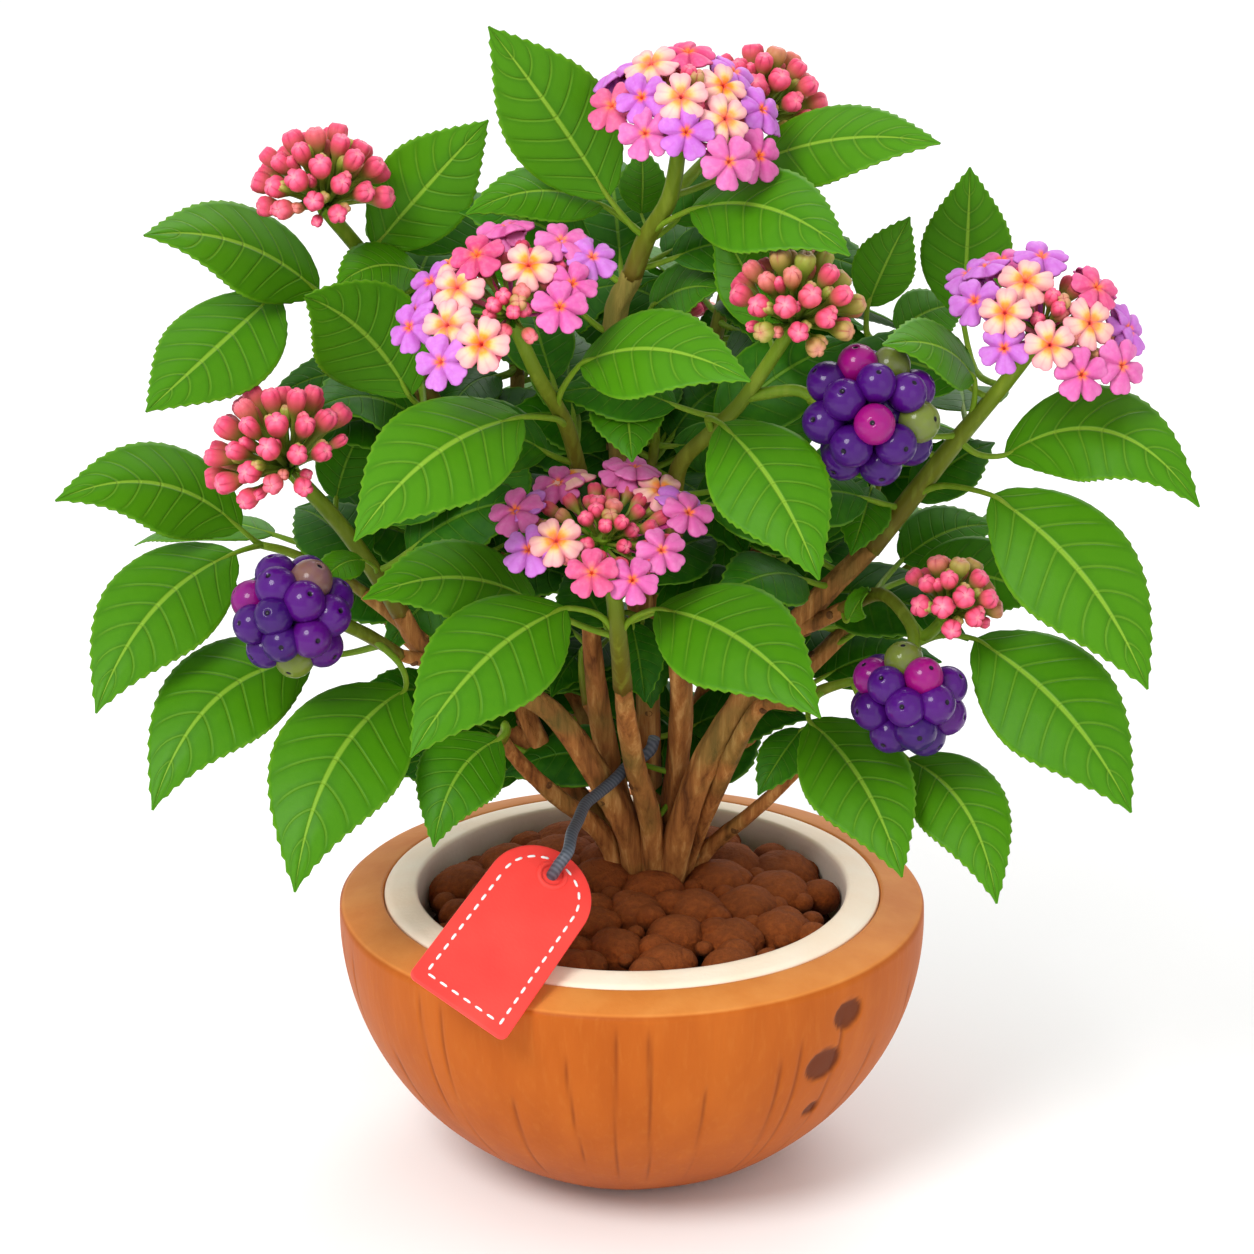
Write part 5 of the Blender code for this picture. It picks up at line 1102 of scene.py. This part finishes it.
def tag_outline(inset):
    """The tag's edge as (along, across) from its hole, moved inwards: an arched end, two round corners."""
    arch_middle, radius = TAG_ARCH_RADIUS - TAG_END_TO_HOLE, TAG_ARCH_RADIUS - inset
    outline = [Vector((arch_middle - radius * sin(turn), -radius * cos(turn)))
               for turn in (pi * step / 40 for step in range(41))]
    foot, half = TAG_LENGTH - TAG_END_TO_HOLE - inset, TAG_WIDTH / 2 - inset
    corner = max(TAG_CORNER - inset, 0.5)
    for sign in (1, -1):
        turns = [pi / 16 * step for step in range(9)]
        arc = [Vector((foot - corner + corner * sin(turn), sign * (half - corner + corner * cos(turn))))
               for turn in turns]
        outline += arc if sign == 1 else list(reversed(arc))
    return outline


def tag_point(flat, height):
    """A point of the tag from its (along, across) and its height over the middle of the plate."""
    along, across, out = tag_frame()
    return TAG_HOLE + along * flat.x + across * flat.y + out * height


def tag():
    """The blank tag: a plate with rounded edges, a raised ring at its hole and a line of stitches."""
    form = Form()
    half, bevel = TAG_THICKNESS / 2, TAG_BEVEL
    turns = [pi / 2 * step / 4 for step in range(5)]
    layers = [(bevel * (1 - cos(turn)), -half + bevel * (1 - sin(turn))) for turn in reversed(turns)]
    layers += [(bevel * (1 - cos(turn)), half - bevel * (1 - sin(turn))) for turn in turns]
    layers = [(bevel + TAG_STRIP, -half), *layers, (bevel + TAG_STRIP, half)]

    def hole_edge(inset):
        wide = TAG_HOLE_RADIUS + inset
        return [Vector((wide * cos(turn), wide * sin(turn)))
                for turn in (2 * pi * step / 40 for step in range(40))]

    outer_rows, hole_rows, points, values = [], [], [], []
    for inset, height in layers:
        for rows, flats in ((outer_rows, tag_outline(inset)), (hole_rows, hole_edge(inset))):
            rows.append(list(range(len(points), len(points) + len(flats))))
            points += [tag_point(flat, height) for flat in flats]
            values += [(1.0, 0.0, 0.0, 0.0)] * len(flats)
    faces = [tuple(reversed(face)) for face in rows_faces(outer_rows, True) + rows_faces(hole_rows, True)]
    for layer in (0, -1):
        flats, ring = tag_outline(layers[layer][0]), hole_edge(layers[layer][0])
        count, rim = len(flats), len(ring)
        edges = [(index, (index + 1) % count) for index in range(count)]
        edges += [(count + index, count + (index + 1) % rim) for index in range(rim)]
        _, _, triangles, _, _, _ = delaunay_2d_cdt(flats + ring, edges, [], 3, 1e-6)
        numbers = outer_rows[layer] + hole_rows[layer]
        for triangle in triangles:
            middle = sum(((flats + ring)[index] for index in triangle), Vector((0, 0))) / 3
            if middle.length > TAG_HOLE_RADIUS:
                corners = tuple(numbers[index] for index in triangle)
                faces.append(corners if layer else tuple(reversed(corners)))
    form.add(points, faces, values)
    ring_profile = [(TAG_HOLE_RADIUS + wide, half + high) for wide, high in
                    ((0.1, -0.1), (0.2, 0.35), (0.7, 0.55), (1.2, 0.3), (1.35, -0.1))]
    _, _, out = tag_frame()
    lathe(form, ring_profile, 48, TAG_HOLE, out, lambda turn, share: (0.5, share, 0.0, 0.0))
    line = tag_outline(STITCH_INSET)
    line.append(line[0])
    reach = 0.0
    due = STITCH_PITCH / 2
    for near, far in zip(line, line[1:]):
        step = (far - near).length
        while reach + step >= due:
            middle = near.lerp(far, (due - reach) / step)
            stitch(form, middle, (far - near).normalized(), half)
            due += STITCH_PITCH
        reach += step
    return form.make("blank_tag", [tag_material(), thread_material()], ["tag"])


def stitch(form, middle, way, half):
    """One dash of thread that lies on the tag and dips into it at both ends."""
    side = Vector((-way.y, way.x))
    rings, values = [], []
    for step in range(9):
        share = step / 4 - 1
        thick = STITCH_THICKNESS * sqrt(max(1 - share ** 4, 0.0))
        rings.append([])
        for corner in range(8 if thick else 1):
            turn = 2 * pi * corner / 8
            flat = middle + way * share * STITCH_HALF + side * thick * cos(turn)
            rings[-1].append(tag_point(flat, half + 0.12 * (1 - share ** 2) + 0.8 * thick * sin(turn)))
            values.append((0.0, share, 0.0, 0.0))
    form.skin(rings, values, 1)


def cord_points():
    """The cord from its free end, behind the front stem, to the tag's hole and through it."""
    along, _, out = tag_frame()
    route = [Vector(point) for point in CORD_ROUTE]
    for turn in CORD_TURN_ANGLES:
        angle = radians(turn)
        aside, above = CORD_TURN * (1 - sin(angle)), CORD_TURN * cos(angle)
        route.append(TAG_HOLE - along * aside + out * above)
    route.append(TAG_HOLE - out * (TAG_THICKNESS / 2 - CORD_SINK))
    curve = smooth(route, CURVE_STEPS)
    reach = [0.0]
    for near, far in zip(curve, curve[1:]):
        reach.append(reach[-1] + (far - near).length)
    count = round(reach[-1] / CORD_SPACING)
    picked = [curve[0]]
    for number in range(1, count):
        due = reach[-1] * number / count
        picked.append(next(point for point, so_far in zip(curve, reach) if so_far >= due))
    return picked + [curve[-1]], reach[-1]


def cord():
    """The cord as one open curve of its real thickness."""
    route, length = cord_points()
    curve = bpy.data.curves.new("grey_cord", "CURVE")
    curve.dimensions = "3D"
    curve.bevel_depth = CORD_RADIUS * METRES
    curve.bevel_resolution = 6
    curve.use_fill_caps = True
    spline = curve.splines.new("POLY")
    spline.points.add(len(route) - 1)
    for place, point in zip(spline.points, route):
        place.co = (*(point * METRES), 1.0)
    spline.use_smooth = True
    curve.materials.append(cord_material())
    piece = placed("grey_cord", curve)
    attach(piece, "root")
    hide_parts("tag_cord")
    return piece, route, length


def knot():
    """The stopper knot under the tag: three loops of the cord pulled tight."""
    _, _, out = tag_frame()
    first, second = square_to(out)
    middle = TAG_HOLE - out * (TAG_THICKNESS / 2 + GAP + KNOT_RADIUS)
    form = Form()
    for number in range(3):
        tilt = (out + spoke_at(first, second, 2.1 * number) * 0.7).normalized()
        loop = [middle + spoke_at(*square_to(tilt), turn) * KNOT_LOOP
                for turn in (2 * pi * step / 14 for step in range(13))]
        stem(form, loop, KNOT_STRAND, KNOT_STRAND, tone=0.5, slot=0, sides=14, steps=3)
    return form.make("stopper_knot", [cord_material()], ["tag_knot"])


class Nodes:
    """A material's node tree, with short calls for its nodes; channels are a point's four values."""

    def __init__(self, name, roughness, **sockets):
        self.material = bpy.data.materials.new(name)
        self.material.use_nodes = True
        self.tree = self.material.node_tree
        self.shader = self.tree.nodes["Principled BSDF"]
        self.shader.inputs["Roughness"].default_value = roughness
        for socket, value in sockets.items():
            self.shader.inputs[socket.replace("_", " ")].default_value = value
        self.spot = self.node("ShaderNodeTexCoord").outputs["Object"]
        place = self.node("ShaderNodeAttribute", attribute_name="place").outputs
        split = self.node("ShaderNodeSeparateColor", {"Color": place["Color"]}).outputs
        self.channels = [*split, place["Alpha"]]

    def node(self, kind, links=None, **settings):
        made = self.tree.nodes.new(kind)
        for setting, value in settings.items():
            setattr(made, setting, value)
        for socket, value in (links or {}).items():
            if isinstance(value, bpy.types.NodeSocket):
                self.tree.links.new(value, made.inputs[socket])
            else:
                made.inputs[socket].default_value = value
        return made

    def math(self, operation, first, second=0.0):
        return self.node("ShaderNodeMath", {0: first, 1: second}, operation=operation).outputs[0]

    def times(self, first, second):
        return self.math("MULTIPLY", first, second)

    def ramp(self, value, stops):
        """A colour by a value, from (position, colour) stops."""
        made = self.node("ShaderNodeValToRGB", {"Fac": value})
        elements = made.color_ramp.elements
        elements[0].position, elements[0].color = stops[0][0], (*stops[0][1], 1)
        elements[1].position, elements[1].color = stops[-1][0], (*stops[-1][1], 1)
        for position, colour in stops[1:-1]:
            elements.new(position).color = (*colour, 1)
        return made.outputs["Color"]

    def step(self, value, low, high):
        return self.node("ShaderNodeMapRange", {"Value": value, "From Min": low, "From Max": high},
                         interpolation_type="SMOOTHSTEP").outputs["Result"]

    def noise(self, scale, detail=3.0, stretch=(1, 1, 1), rough=0.5):
        moved = self.node("ShaderNodeMapping", {"Vector": self.spot, "Scale": stretch}).outputs["Vector"]
        return self.node("ShaderNodeTexNoise", {"Vector": moved, "Scale": scale, "Detail": detail,
                                                "Roughness": rough}).outputs["Fac"]

    def mix(self, share, first, second):
        """The first colour, turning into the second as the share goes from 0 to 1."""
        first, second = ((*end, 1) if isinstance(end, tuple) else end for end in (first, second))
        return self.node("ShaderNodeMix", {0: share, 6: first, 7: second}, data_type="RGBA").outputs[2]

    def tint(self, colour, mask, amount, other):
        """A colour with so much of another one where a mask is 1."""
        return self.mix(self.times(mask, amount), colour, other)

    def finish(self, colour, height=None, depth=0.0003, strength=0.5):
        """The material with its colour, and with a bump of a depth in metres where it has one."""
        self.tree.links.new(colour, self.shader.inputs["Base Color"])
        if height is not None:
            bump = self.node("ShaderNodeBump", {"Height": height, "Distance": depth, "Strength": strength})
            self.tree.links.new(bump.outputs["Normal"], self.shader.inputs["Normal"])
        return self.material


def leaf_material():
    nodes = Nodes("leaf_green", 0.45, Specular_IOR_Level=0.12)
    across, place, tone, under = nodes.channels
    aside = nodes.math("ABSOLUTE", across)
    sweep = nodes.times(nodes.math("POWER", aside, VEIN_CURVE), VEIN_SWEEP)
    phase = nodes.math("SUBTRACT", nodes.times(place, VEIN_STRETCH), sweep)
    wave = nodes.math("COSINE", nodes.times(phase, 2 * pi * VEINS))
    fade = nodes.times(nodes.step(aside, 1.0, 0.55), nodes.step(place, 0.98, 0.8))
    vein = nodes.times(nodes.step(wave, 0.88, 0.998), fade)
    rib = nodes.step(aside, 0.06, 0.022)
    mottle = nodes.noise(420, 3)
    # The tone carries painted shade: leaves deep in the plant take the darker end of this ramp
    body = nodes.ramp(tone, [(0.0, (0.005, 0.043, 0.001)), (0.35, (0.013, 0.098, 0.001)),
                             (0.7, (0.034, 0.165, 0.001)), (1.0, (0.060, 0.220, 0.002))])
    # Painted shade in the sunken furrows along the side veins, lighter on the raised parts between them
    body = nodes.tint(body, nodes.step(wave, -0.2, 0.9), 0.2, (0.009, 0.068, 0.001))
    body = nodes.tint(body, nodes.step(aside, 0.3, 0.0), 0.25, (0.010, 0.072, 0.001))
    body = nodes.tint(body, nodes.step(mottle, 0.35, 0.75), 0.22, (0.072, 0.24, 0.003))
    # Painted highlight along the toothed edge
    body = nodes.tint(body, nodes.step(aside, 0.95, 1.0), 0.45, (0.17, 0.37, 0.015))
    light = nodes.ramp(tone, [(0.0, (0.025, 0.10, 0.004)), (0.6, (0.145, 0.31, 0.015)),
                              (1.0, (0.23, 0.42, 0.03))])
    body = nodes.tint(body, vein, 0.24, light)
    body = nodes.tint(body, rib, 0.85, light)
    body = nodes.tint(body, under, 0.5, (0.045, 0.14, 0.008))
    raised = nodes.math("SUBTRACT", nodes.times(mottle, 0.35), nodes.times(vein, 0.8))
    raised = nodes.math("SUBTRACT", raised, nodes.times(rib, 0.9))
    return nodes.finish(body, raised, 0.00035, 0.6)


def stem_material():
    nodes = Nodes("stem_green", 0.5, Specular_IOR_Level=0.15)
    fibre = nodes.noise(500, 3, (1, 1, 0.12))
    along, tone = nodes.channels[1:3]
    colour = nodes.ramp(along, [(0.0, (0.13, 0.085, 0.010)), (0.4, (0.125, 0.15, 0.008)),
                                (1.0, (0.14, 0.24, 0.010))])
    fresh = nodes.mix(nodes.step(tone, 0.4, 0.8), colour, (0.15, 0.27, 0.012))
    streaked = nodes.tint(fresh, nodes.step(fibre, 0.45, 0.7), 0.35, (0.27, 0.34, 0.035))
    return nodes.finish(streaked, fibre, 0.0003, 0.4)


def petal_material(name, stops, under):
    """A petal's colour from its throat to its edge, with painted shade between the lobes, and darker below.
    """
    nodes = Nodes(name, 0.5, Specular_IOR_Level=0.2)
    share, out, tone, below = nodes.channels
    silk = nodes.noise(900, 3)
    colour = nodes.ramp(share, stops)
    # Painted shade in the creases between the lobes, in the underside colour
    colour = nodes.tint(colour, nodes.step(out, 0.5, 1.0), 0.5, under)
    line = nodes.times(nodes.step(out, 0.16, 0.0), 0.16)
    colour = nodes.tint(colour, line, nodes.step(share, 0.3, 0.6), under)
    colour = nodes.tint(colour, tone, 0.08, (0.9, 0.6, 0.8))
    colour = nodes.tint(colour, below, 0.85, under)
    grain = nodes.tint(colour, nodes.step(silk, 0.4, 0.7), 0.05, (1, 1, 1))
    return nodes.finish(grain, silk, 0.00015, 0.3)


def bloom_materials():
    """Slots 0 to 3 for lavender, magenta, hot pink and cream petals, 4 buds, 5 stems, 6 bracts."""
    throat, ring = (0.62, 0.03, 0.004), (0.90, 0.17, 0.008)
    # Each petal's second colour is its darker underside, and also its painted shade between the lobes
    petals = {
        "petal_lavender": ([(0.0, throat), (0.17, ring), (0.25, (0.58, 0.10, 0.38)),
                            (0.34, (0.50, 0.115, 0.55)), (1.0, (0.56, 0.16, 0.62))], (0.40, 0.03, 0.32)),
        "petal_magenta": ([(0.0, throat), (0.17, ring), (0.25, (0.66, 0.09, 0.26)),
                           (0.34, (0.65, 0.085, 0.34)), (1.0, (0.72, 0.14, 0.42))], (0.46, 0.02, 0.18)),
        "petal_pink": ([(0.0, throat), (0.17, ring), (0.25, (0.72, 0.08, 0.12)),
                        (0.45, (0.70, 0.055, 0.19)), (1.0, (0.74, 0.085, 0.25))], (0.46, 0.015, 0.09)),
        "petal_cream": ([(0.0, (0.45, 0.005, 0.002)), (0.1, (0.70, 0.03, 0.003)), (0.2, (0.90, 0.17, 0.004)),
                         (0.34, (0.95, 0.32, 0.010)), (0.46, (0.93, 0.50, 0.20)),
                         (0.62, (0.90, 0.50, 0.38)), (1.0, (0.84, 0.34, 0.38))], (0.62, 0.08, 0.16)),
    }
    return [*(petal_material(name, *colours) for name, colours in petals.items()),
            bud_material(), stem_material(), leaf_material()]


def bud_material():
    nodes = Nodes("bud_pink", 0.45, Specular_IOR_Level=0.25)
    crease, place, tone = nodes.channels[:3]
    silk = nodes.noise(900, 3)
    pink = nodes.ramp(place, [(0.0, (0.14, 0.25, 0.02)), (0.4, (0.24, 0.24, 0.03)),
                              (0.55, (0.56, 0.10, 0.09)), (0.7, (0.70, 0.06, 0.14)),
                              (0.88, (0.84, 0.13, 0.24)), (1.0, (0.92, 0.34, 0.38))])
    pale = nodes.ramp(place, [(0.0, (0.14, 0.25, 0.02)), (0.5, (0.23, 0.32, 0.03)),
                              (0.72, (0.32, 0.34, 0.05)), (1.0, (0.66, 0.30, 0.18))])
    colour = nodes.mix(nodes.step(tone, 0.36, 0.12), pink, pale)
    # Painted shade in the creases between the folded lobes, towards the tip
    fold = nodes.times(nodes.step(crease, 0.4, 0.0), 0.6)
    colour = nodes.tint(colour, fold, nodes.step(place, 0.5, 0.7), (0.40, 0.015, 0.06))
    return nodes.finish(colour, silk, 0.00015, 0.3)


def berry_material():
    nodes = Nodes("berry_skin", 0.4, Specular_IOR_Level=0.08, Coat_Weight=0.4, Coat_Roughness=0.07)
    place, tone = nodes.channels[1:3]
    cloud = nodes.noise(260, 3)
    skin = nodes.ramp(tone, [(0.0, (0.020, 0.001, 0.085)), (0.3, (0.060, 0.002, 0.15)),
                             (0.45, (0.10, 0.003, 0.16)), (0.6, (0.28, 0.003, 0.16)),
                             (0.72, (0.30, 0.004, 0.15)), (0.85, (0.12, 0.15, 0.02)),
                             (1.0, (0.17, 0.23, 0.03))])
    glow = nodes.tint(skin, nodes.step(cloud, 0.4, 0.75), 0.2, (0.09, 0.02, 0.20))
    pore = nodes.mix(nodes.step(place, 0.9, 0.935), glow, (0.006, 0.003, 0.012))
    return nodes.finish(pore, cloud, 0.0002, 0.15)


def bark_material():
    nodes = Nodes("lantana_bark", 0.75, Specular_IOR_Level=0.2)
    fibre = nodes.noise(360, 6, (1, 1, 0.09), 0.62)
    blotch = nodes.noise(55, 3)
    high = nodes.node("ShaderNodeSeparateXYZ", {"Vector": nodes.spot}).outputs["Z"]
    colour = nodes.ramp(fibre, [(0.28, (0.07, 0.020, 0.004)), (0.42, (0.24, 0.080, 0.018)),
                                (0.55, (0.38, 0.145, 0.035)), (0.7, (0.62, 0.32, 0.10))])
    colour = nodes.tint(colour, nodes.step(blotch, 0.48, 0.68), 0.45, (0.15, 0.15, 0.03))
    colour = nodes.tint(colour, nodes.step(high, 0.115, 0.2), 0.7, (0.17, 0.20, 0.035))
    colour = nodes.tint(colour, nodes.channels[3], 0.65, (0.03, 0.012, 0.005))
    return nodes.finish(colour, fibre, 0.0012, 0.9)


def shell_material():
    nodes = Nodes("coconut_shell", 0.5, Specular_IOR_Level=0.12)
    groove, eye, rim, high = nodes.channels
    fibre = nodes.noise(90, 5, (1, 1, 0.22), 0.55)
    fine = nodes.noise(700, 3, (1, 1, 0.2))
    colour = nodes.ramp(fibre, [(0.3, (0.40, 0.086, 0.006)), (0.5, (0.44, 0.099, 0.008)),
                                (0.7, (0.48, 0.114, 0.010))])
    # Painted shade: the lower part of the shell is darker
    colour = nodes.tint(colour, nodes.step(high, 0.45, 0.0), 0.35, (0.26, 0.046, 0.004))
    colour = nodes.tint(colour, nodes.step(fine, 0.5, 0.75), 0.15, (0.56, 0.19, 0.03))
    colour = nodes.tint(colour, groove, 0.55, (0.15, 0.024, 0.003))
    colour = nodes.tint(colour, eye, 0.85, (0.085, 0.014, 0.003))
    edge = nodes.ramp(fibre, [(0.3, (0.64, 0.20, 0.035)), (0.7, (0.72, 0.27, 0.06))])
    colour = nodes.mix(rim, colour, edge)
    bumps = nodes.math("ADD", nodes.times(fibre, 0.5), nodes.times(fine, 0.25))
    return nodes.finish(colour, bumps, 0.0005, 0.5)


def flesh_material():
    nodes = Nodes("coconut_flesh", 0.55, Specular_IOR_Level=0.25)
    share = nodes.channels[1]
    cloud = nodes.noise(60, 4)
    fine = nodes.noise(900, 3)
    colour = nodes.ramp(cloud, [(0.3, (0.98, 0.77, 0.58)), (0.7, (1.0, 0.86, 0.70))])
    # Painted shade: the inner wall, down in the bowl, is greyer
    colour = nodes.tint(colour, nodes.step(share, 0.42, 0.62), 0.75, (0.72, 0.62, 0.54))
    colour = nodes.mix(nodes.step(share, 0.12, 0.02), colour, (0.62, 0.36, 0.18))
    return nodes.finish(colour, nodes.math("ADD", fine, cloud), 0.0003, 0.35)


def soil_material():
    nodes = Nodes("moist_soil", 0.82, Specular_IOR_Level=0.12)
    top, tone = nodes.channels[0], nodes.channels[2]
    grit = nodes.noise(700, 6, rough=0.65)
    blotch = nodes.noise(120, 3)
    colour = nodes.ramp(grit, [(0.3, (0.11, 0.018, 0.002)), (0.5, (0.20, 0.038, 0.004)),
                               (0.72, (0.33, 0.075, 0.011))])
    # Painted light and shade: lighter on the clods' tops, darker under them, darkest on the bed
    colour = nodes.tint(colour, nodes.step(top, 0.15, 1.0), 0.45, (0.33, 0.095, 0.026))
    colour = nodes.tint(colour, nodes.step(top, 0.3, -0.4), 0.7, (0.018, 0.005, 0.002))
    colour = nodes.tint(colour, nodes.step(blotch, 0.4, 0.7), 0.25, (0.07, 0.02, 0.008))
    colour = nodes.tint(colour, tone, 0.2, (0.19, 0.065, 0.022))
    return nodes.finish(colour, nodes.math("ADD", grit, blotch), 0.0012, 0.8)


def tag_material():
    nodes = Nodes("tag_red", 0.5, Specular_IOR_Level=0.25)
    grain = nodes.noise(1400, 3)
    cloud = nodes.noise(70, 2)
    colour = nodes.ramp(cloud, [(0.3, (0.93, 0.055, 0.045)), (0.7, (1.0, 0.075, 0.058))])
    colour = nodes.tint(colour, nodes.channels[0], 0.12, (0.60, 0.015, 0.015))
    return nodes.finish(colour, grain, 0.00012, 0.35)


def thread_material():
    nodes = Nodes("white_thread", 0.7)
    twist = nodes.noise(3000, 2)
    colour = nodes.ramp(twist, [(0.3, (0.84, 0.82, 0.80)), (0.7, (0.97, 0.96, 0.95))])
    return nodes.finish(colour, twist, 0.0001, 0.5)


def cord_material():
    nodes = Nodes("cord_blue_grey", 0.45)
    weave = nodes.node("ShaderNodeTexWave", {"Vector": nodes.spot, "Scale": 420, "Distortion": 1.2},
                       bands_direction="DIAGONAL").outputs["Fac"]
    colour = nodes.ramp(weave, [(0.2, (0.050, 0.060, 0.080)), (0.8, (0.10, 0.115, 0.145))])
    return nodes.finish(colour, weave, 0.00006, 0.25)


def whole_tree(forms):
    """A search tree over all the faces of several forms."""
    points, faces = [], []
    for form in forms:
        start = len(points)
        points += form.points
        faces += [tuple(start + corner for corner in face) for face in form.faces]
    return BVHTree.FromPolygons(points, faces)


def shade_leaves(forms, materials):
    """Leaves on the inner stems, darkened with painted shade, each where it crosses nothing that is already
    there.
    """
    chance = random.Random(11)
    trees = [whole_tree(forms)]
    form = Form()
    made = 0
    for trial in range(SHADE_TRIES):
        if made == SHADE_LEAVES:
            break
        name = SHADE_BRANCHES[trial % len(SHADE_BRANCHES)]
        points = [Vector(point) for point in WOOD[name][0][1:]] + shoot_points(name)[1:-1]
        root = along_stem(points, chance.uniform(0.5, len(points) - 1.05))
        turn = chance.uniform(0, 2 * pi)
        way = Vector((cos(turn), sin(turn), chance.uniform(-0.1, 0.8))).normalized()
        length = chance.uniform(25, 38)
        width = length * chance.uniform(0.48, 0.56)
        base = root + way * chance.uniform(6, 11)
        tip = base + way * length - Vector((0, 0, length * chance.uniform(0.1, 0.4)))
        face = (Vector((way.x, way.y, 0)) * 0.5 + Vector((0, -0.6, 0.9))).normalized()
        inside = share_out(tip, SHADE_MIDDLE, SHADE_HALF) < 1
        before_stems = min(tip.z, base.z) < SHADE_LOW and min(tip.y, base.y, (tip + base).y / 2) < SHADE_BACK
        too_low = tip.z < SHADE_LOWEST_TIP or root.z < SHADE_LOWEST_ROOT
        if not inside or before_stems or too_low or abs(way.dot(face)) > 0.9:
            continue
        trialled = Form()
        blade(trialled, base, tip, width, face, tone=0.5, slot=0, teeth=SHADE_TRIAL_TEETH)
        shape = BVHTree.FromPolygons(trialled.points, trialled.faces)
        if any(tree.overlap(shape) for tree in trees):
            continue
        # Painted shade: a shade leaf keeps only SHADE_TONE of a leaf's tone
        leaf(form, root, base, tip, width, face, shaded_leaf_tone(base, tip) * SHADE_TONE, slots=(0, 1),
             teeth=SHADE_TEETH)
        trees.append(shape)
        made += 1
    form.make("inner_shade_leaves", materials)


def area_light(name, place, aim_height, size, power):
    """A round soft light that faces a point on the plant's axis."""
    light = bpy.data.lights.new(name, "AREA")
    light.shape = "DISK"
    light.size = size
    light.energy = power
    lamp = placed(name, light)
    lamp.location = place
    lamp.rotation_euler = (UP * aim_height - Vector(place)).to_track_quat("-Z", "Y").to_euler()


def studio():
    """A pale floor, a pale world and three soft lights."""
    shape = bmesh.new()
    bmesh.ops.create_grid(shape, x_segments=2, y_segments=2, size=FLOOR_HALF)
    mesh = bpy.data.meshes.new("floor")
    shape.to_mesh(mesh)
    shape.free()
    mesh.materials.append(floor_material())
    floor = placed("floor", mesh)
    world = bpy.data.worlds.new("studio")
    world.use_nodes = True
    sockets = world.node_tree.nodes["Background"].inputs
    sockets["Color"].default_value = (1, 1, 1, 1)
    sockets["Strength"].default_value = WORLD_STRENGTH
    bpy.context.scene.world = world
    for name, settings in LIGHTS.items():
        area_light(name, *settings)
    bpy.context.scene.view_settings.view_transform = "Standard"
    bpy.context.scene.view_settings.look = "None"


def floor_material():
    nodes = Nodes("pale_floor", 0.9)
    cloud = nodes.noise(3, 2)
    return nodes.finish(nodes.ramp(cloud, [(0.0, (0.93, 0.93, 0.925)), (1.0, (0.95, 0.95, 0.945))]))


def camera():
    """The photograph's view."""
    view = bpy.data.cameras.new("camera")
    view.lens = CAMERA_LENS
    view.sensor_width = 36
    made = placed("camera", view)
    made.location = (CAMERA_TARGET + VIEW_OUT * CAMERA_DISTANCE) * METRES
    made.rotation_euler = (radians(90) - VIEW_ELEVATION, 0, 0)
    bpy.context.scene.camera = made


def main():
    """Camera and cord first, then the studio, the tag and the plant from its pot upwards."""
    camera()
    string, route, length = cord()
    studio()
    stopper = knot()
    plate = tag()
    pot()
    lining()
    soil()
    wood()
    greens = [leaf_material(), stem_material()]
    forms = [shoot(name, greens) for name in SHOOTS]
    blooms = bloom_materials()
    forms += [open_head(name, blooms) for name in OPEN_HEADS]
    buds = [bud_material(), stem_material(), leaf_material()]
    forms += [bud_head(name, buds) for name in BUD_HEADS]
    berries = [berry_material(), stem_material()]
    forms += [berry_bunch(name, berries) for name in BERRY_BUNCHES]
    shade_leaves(forms, greens)


SHIFTS = shifts()
main()
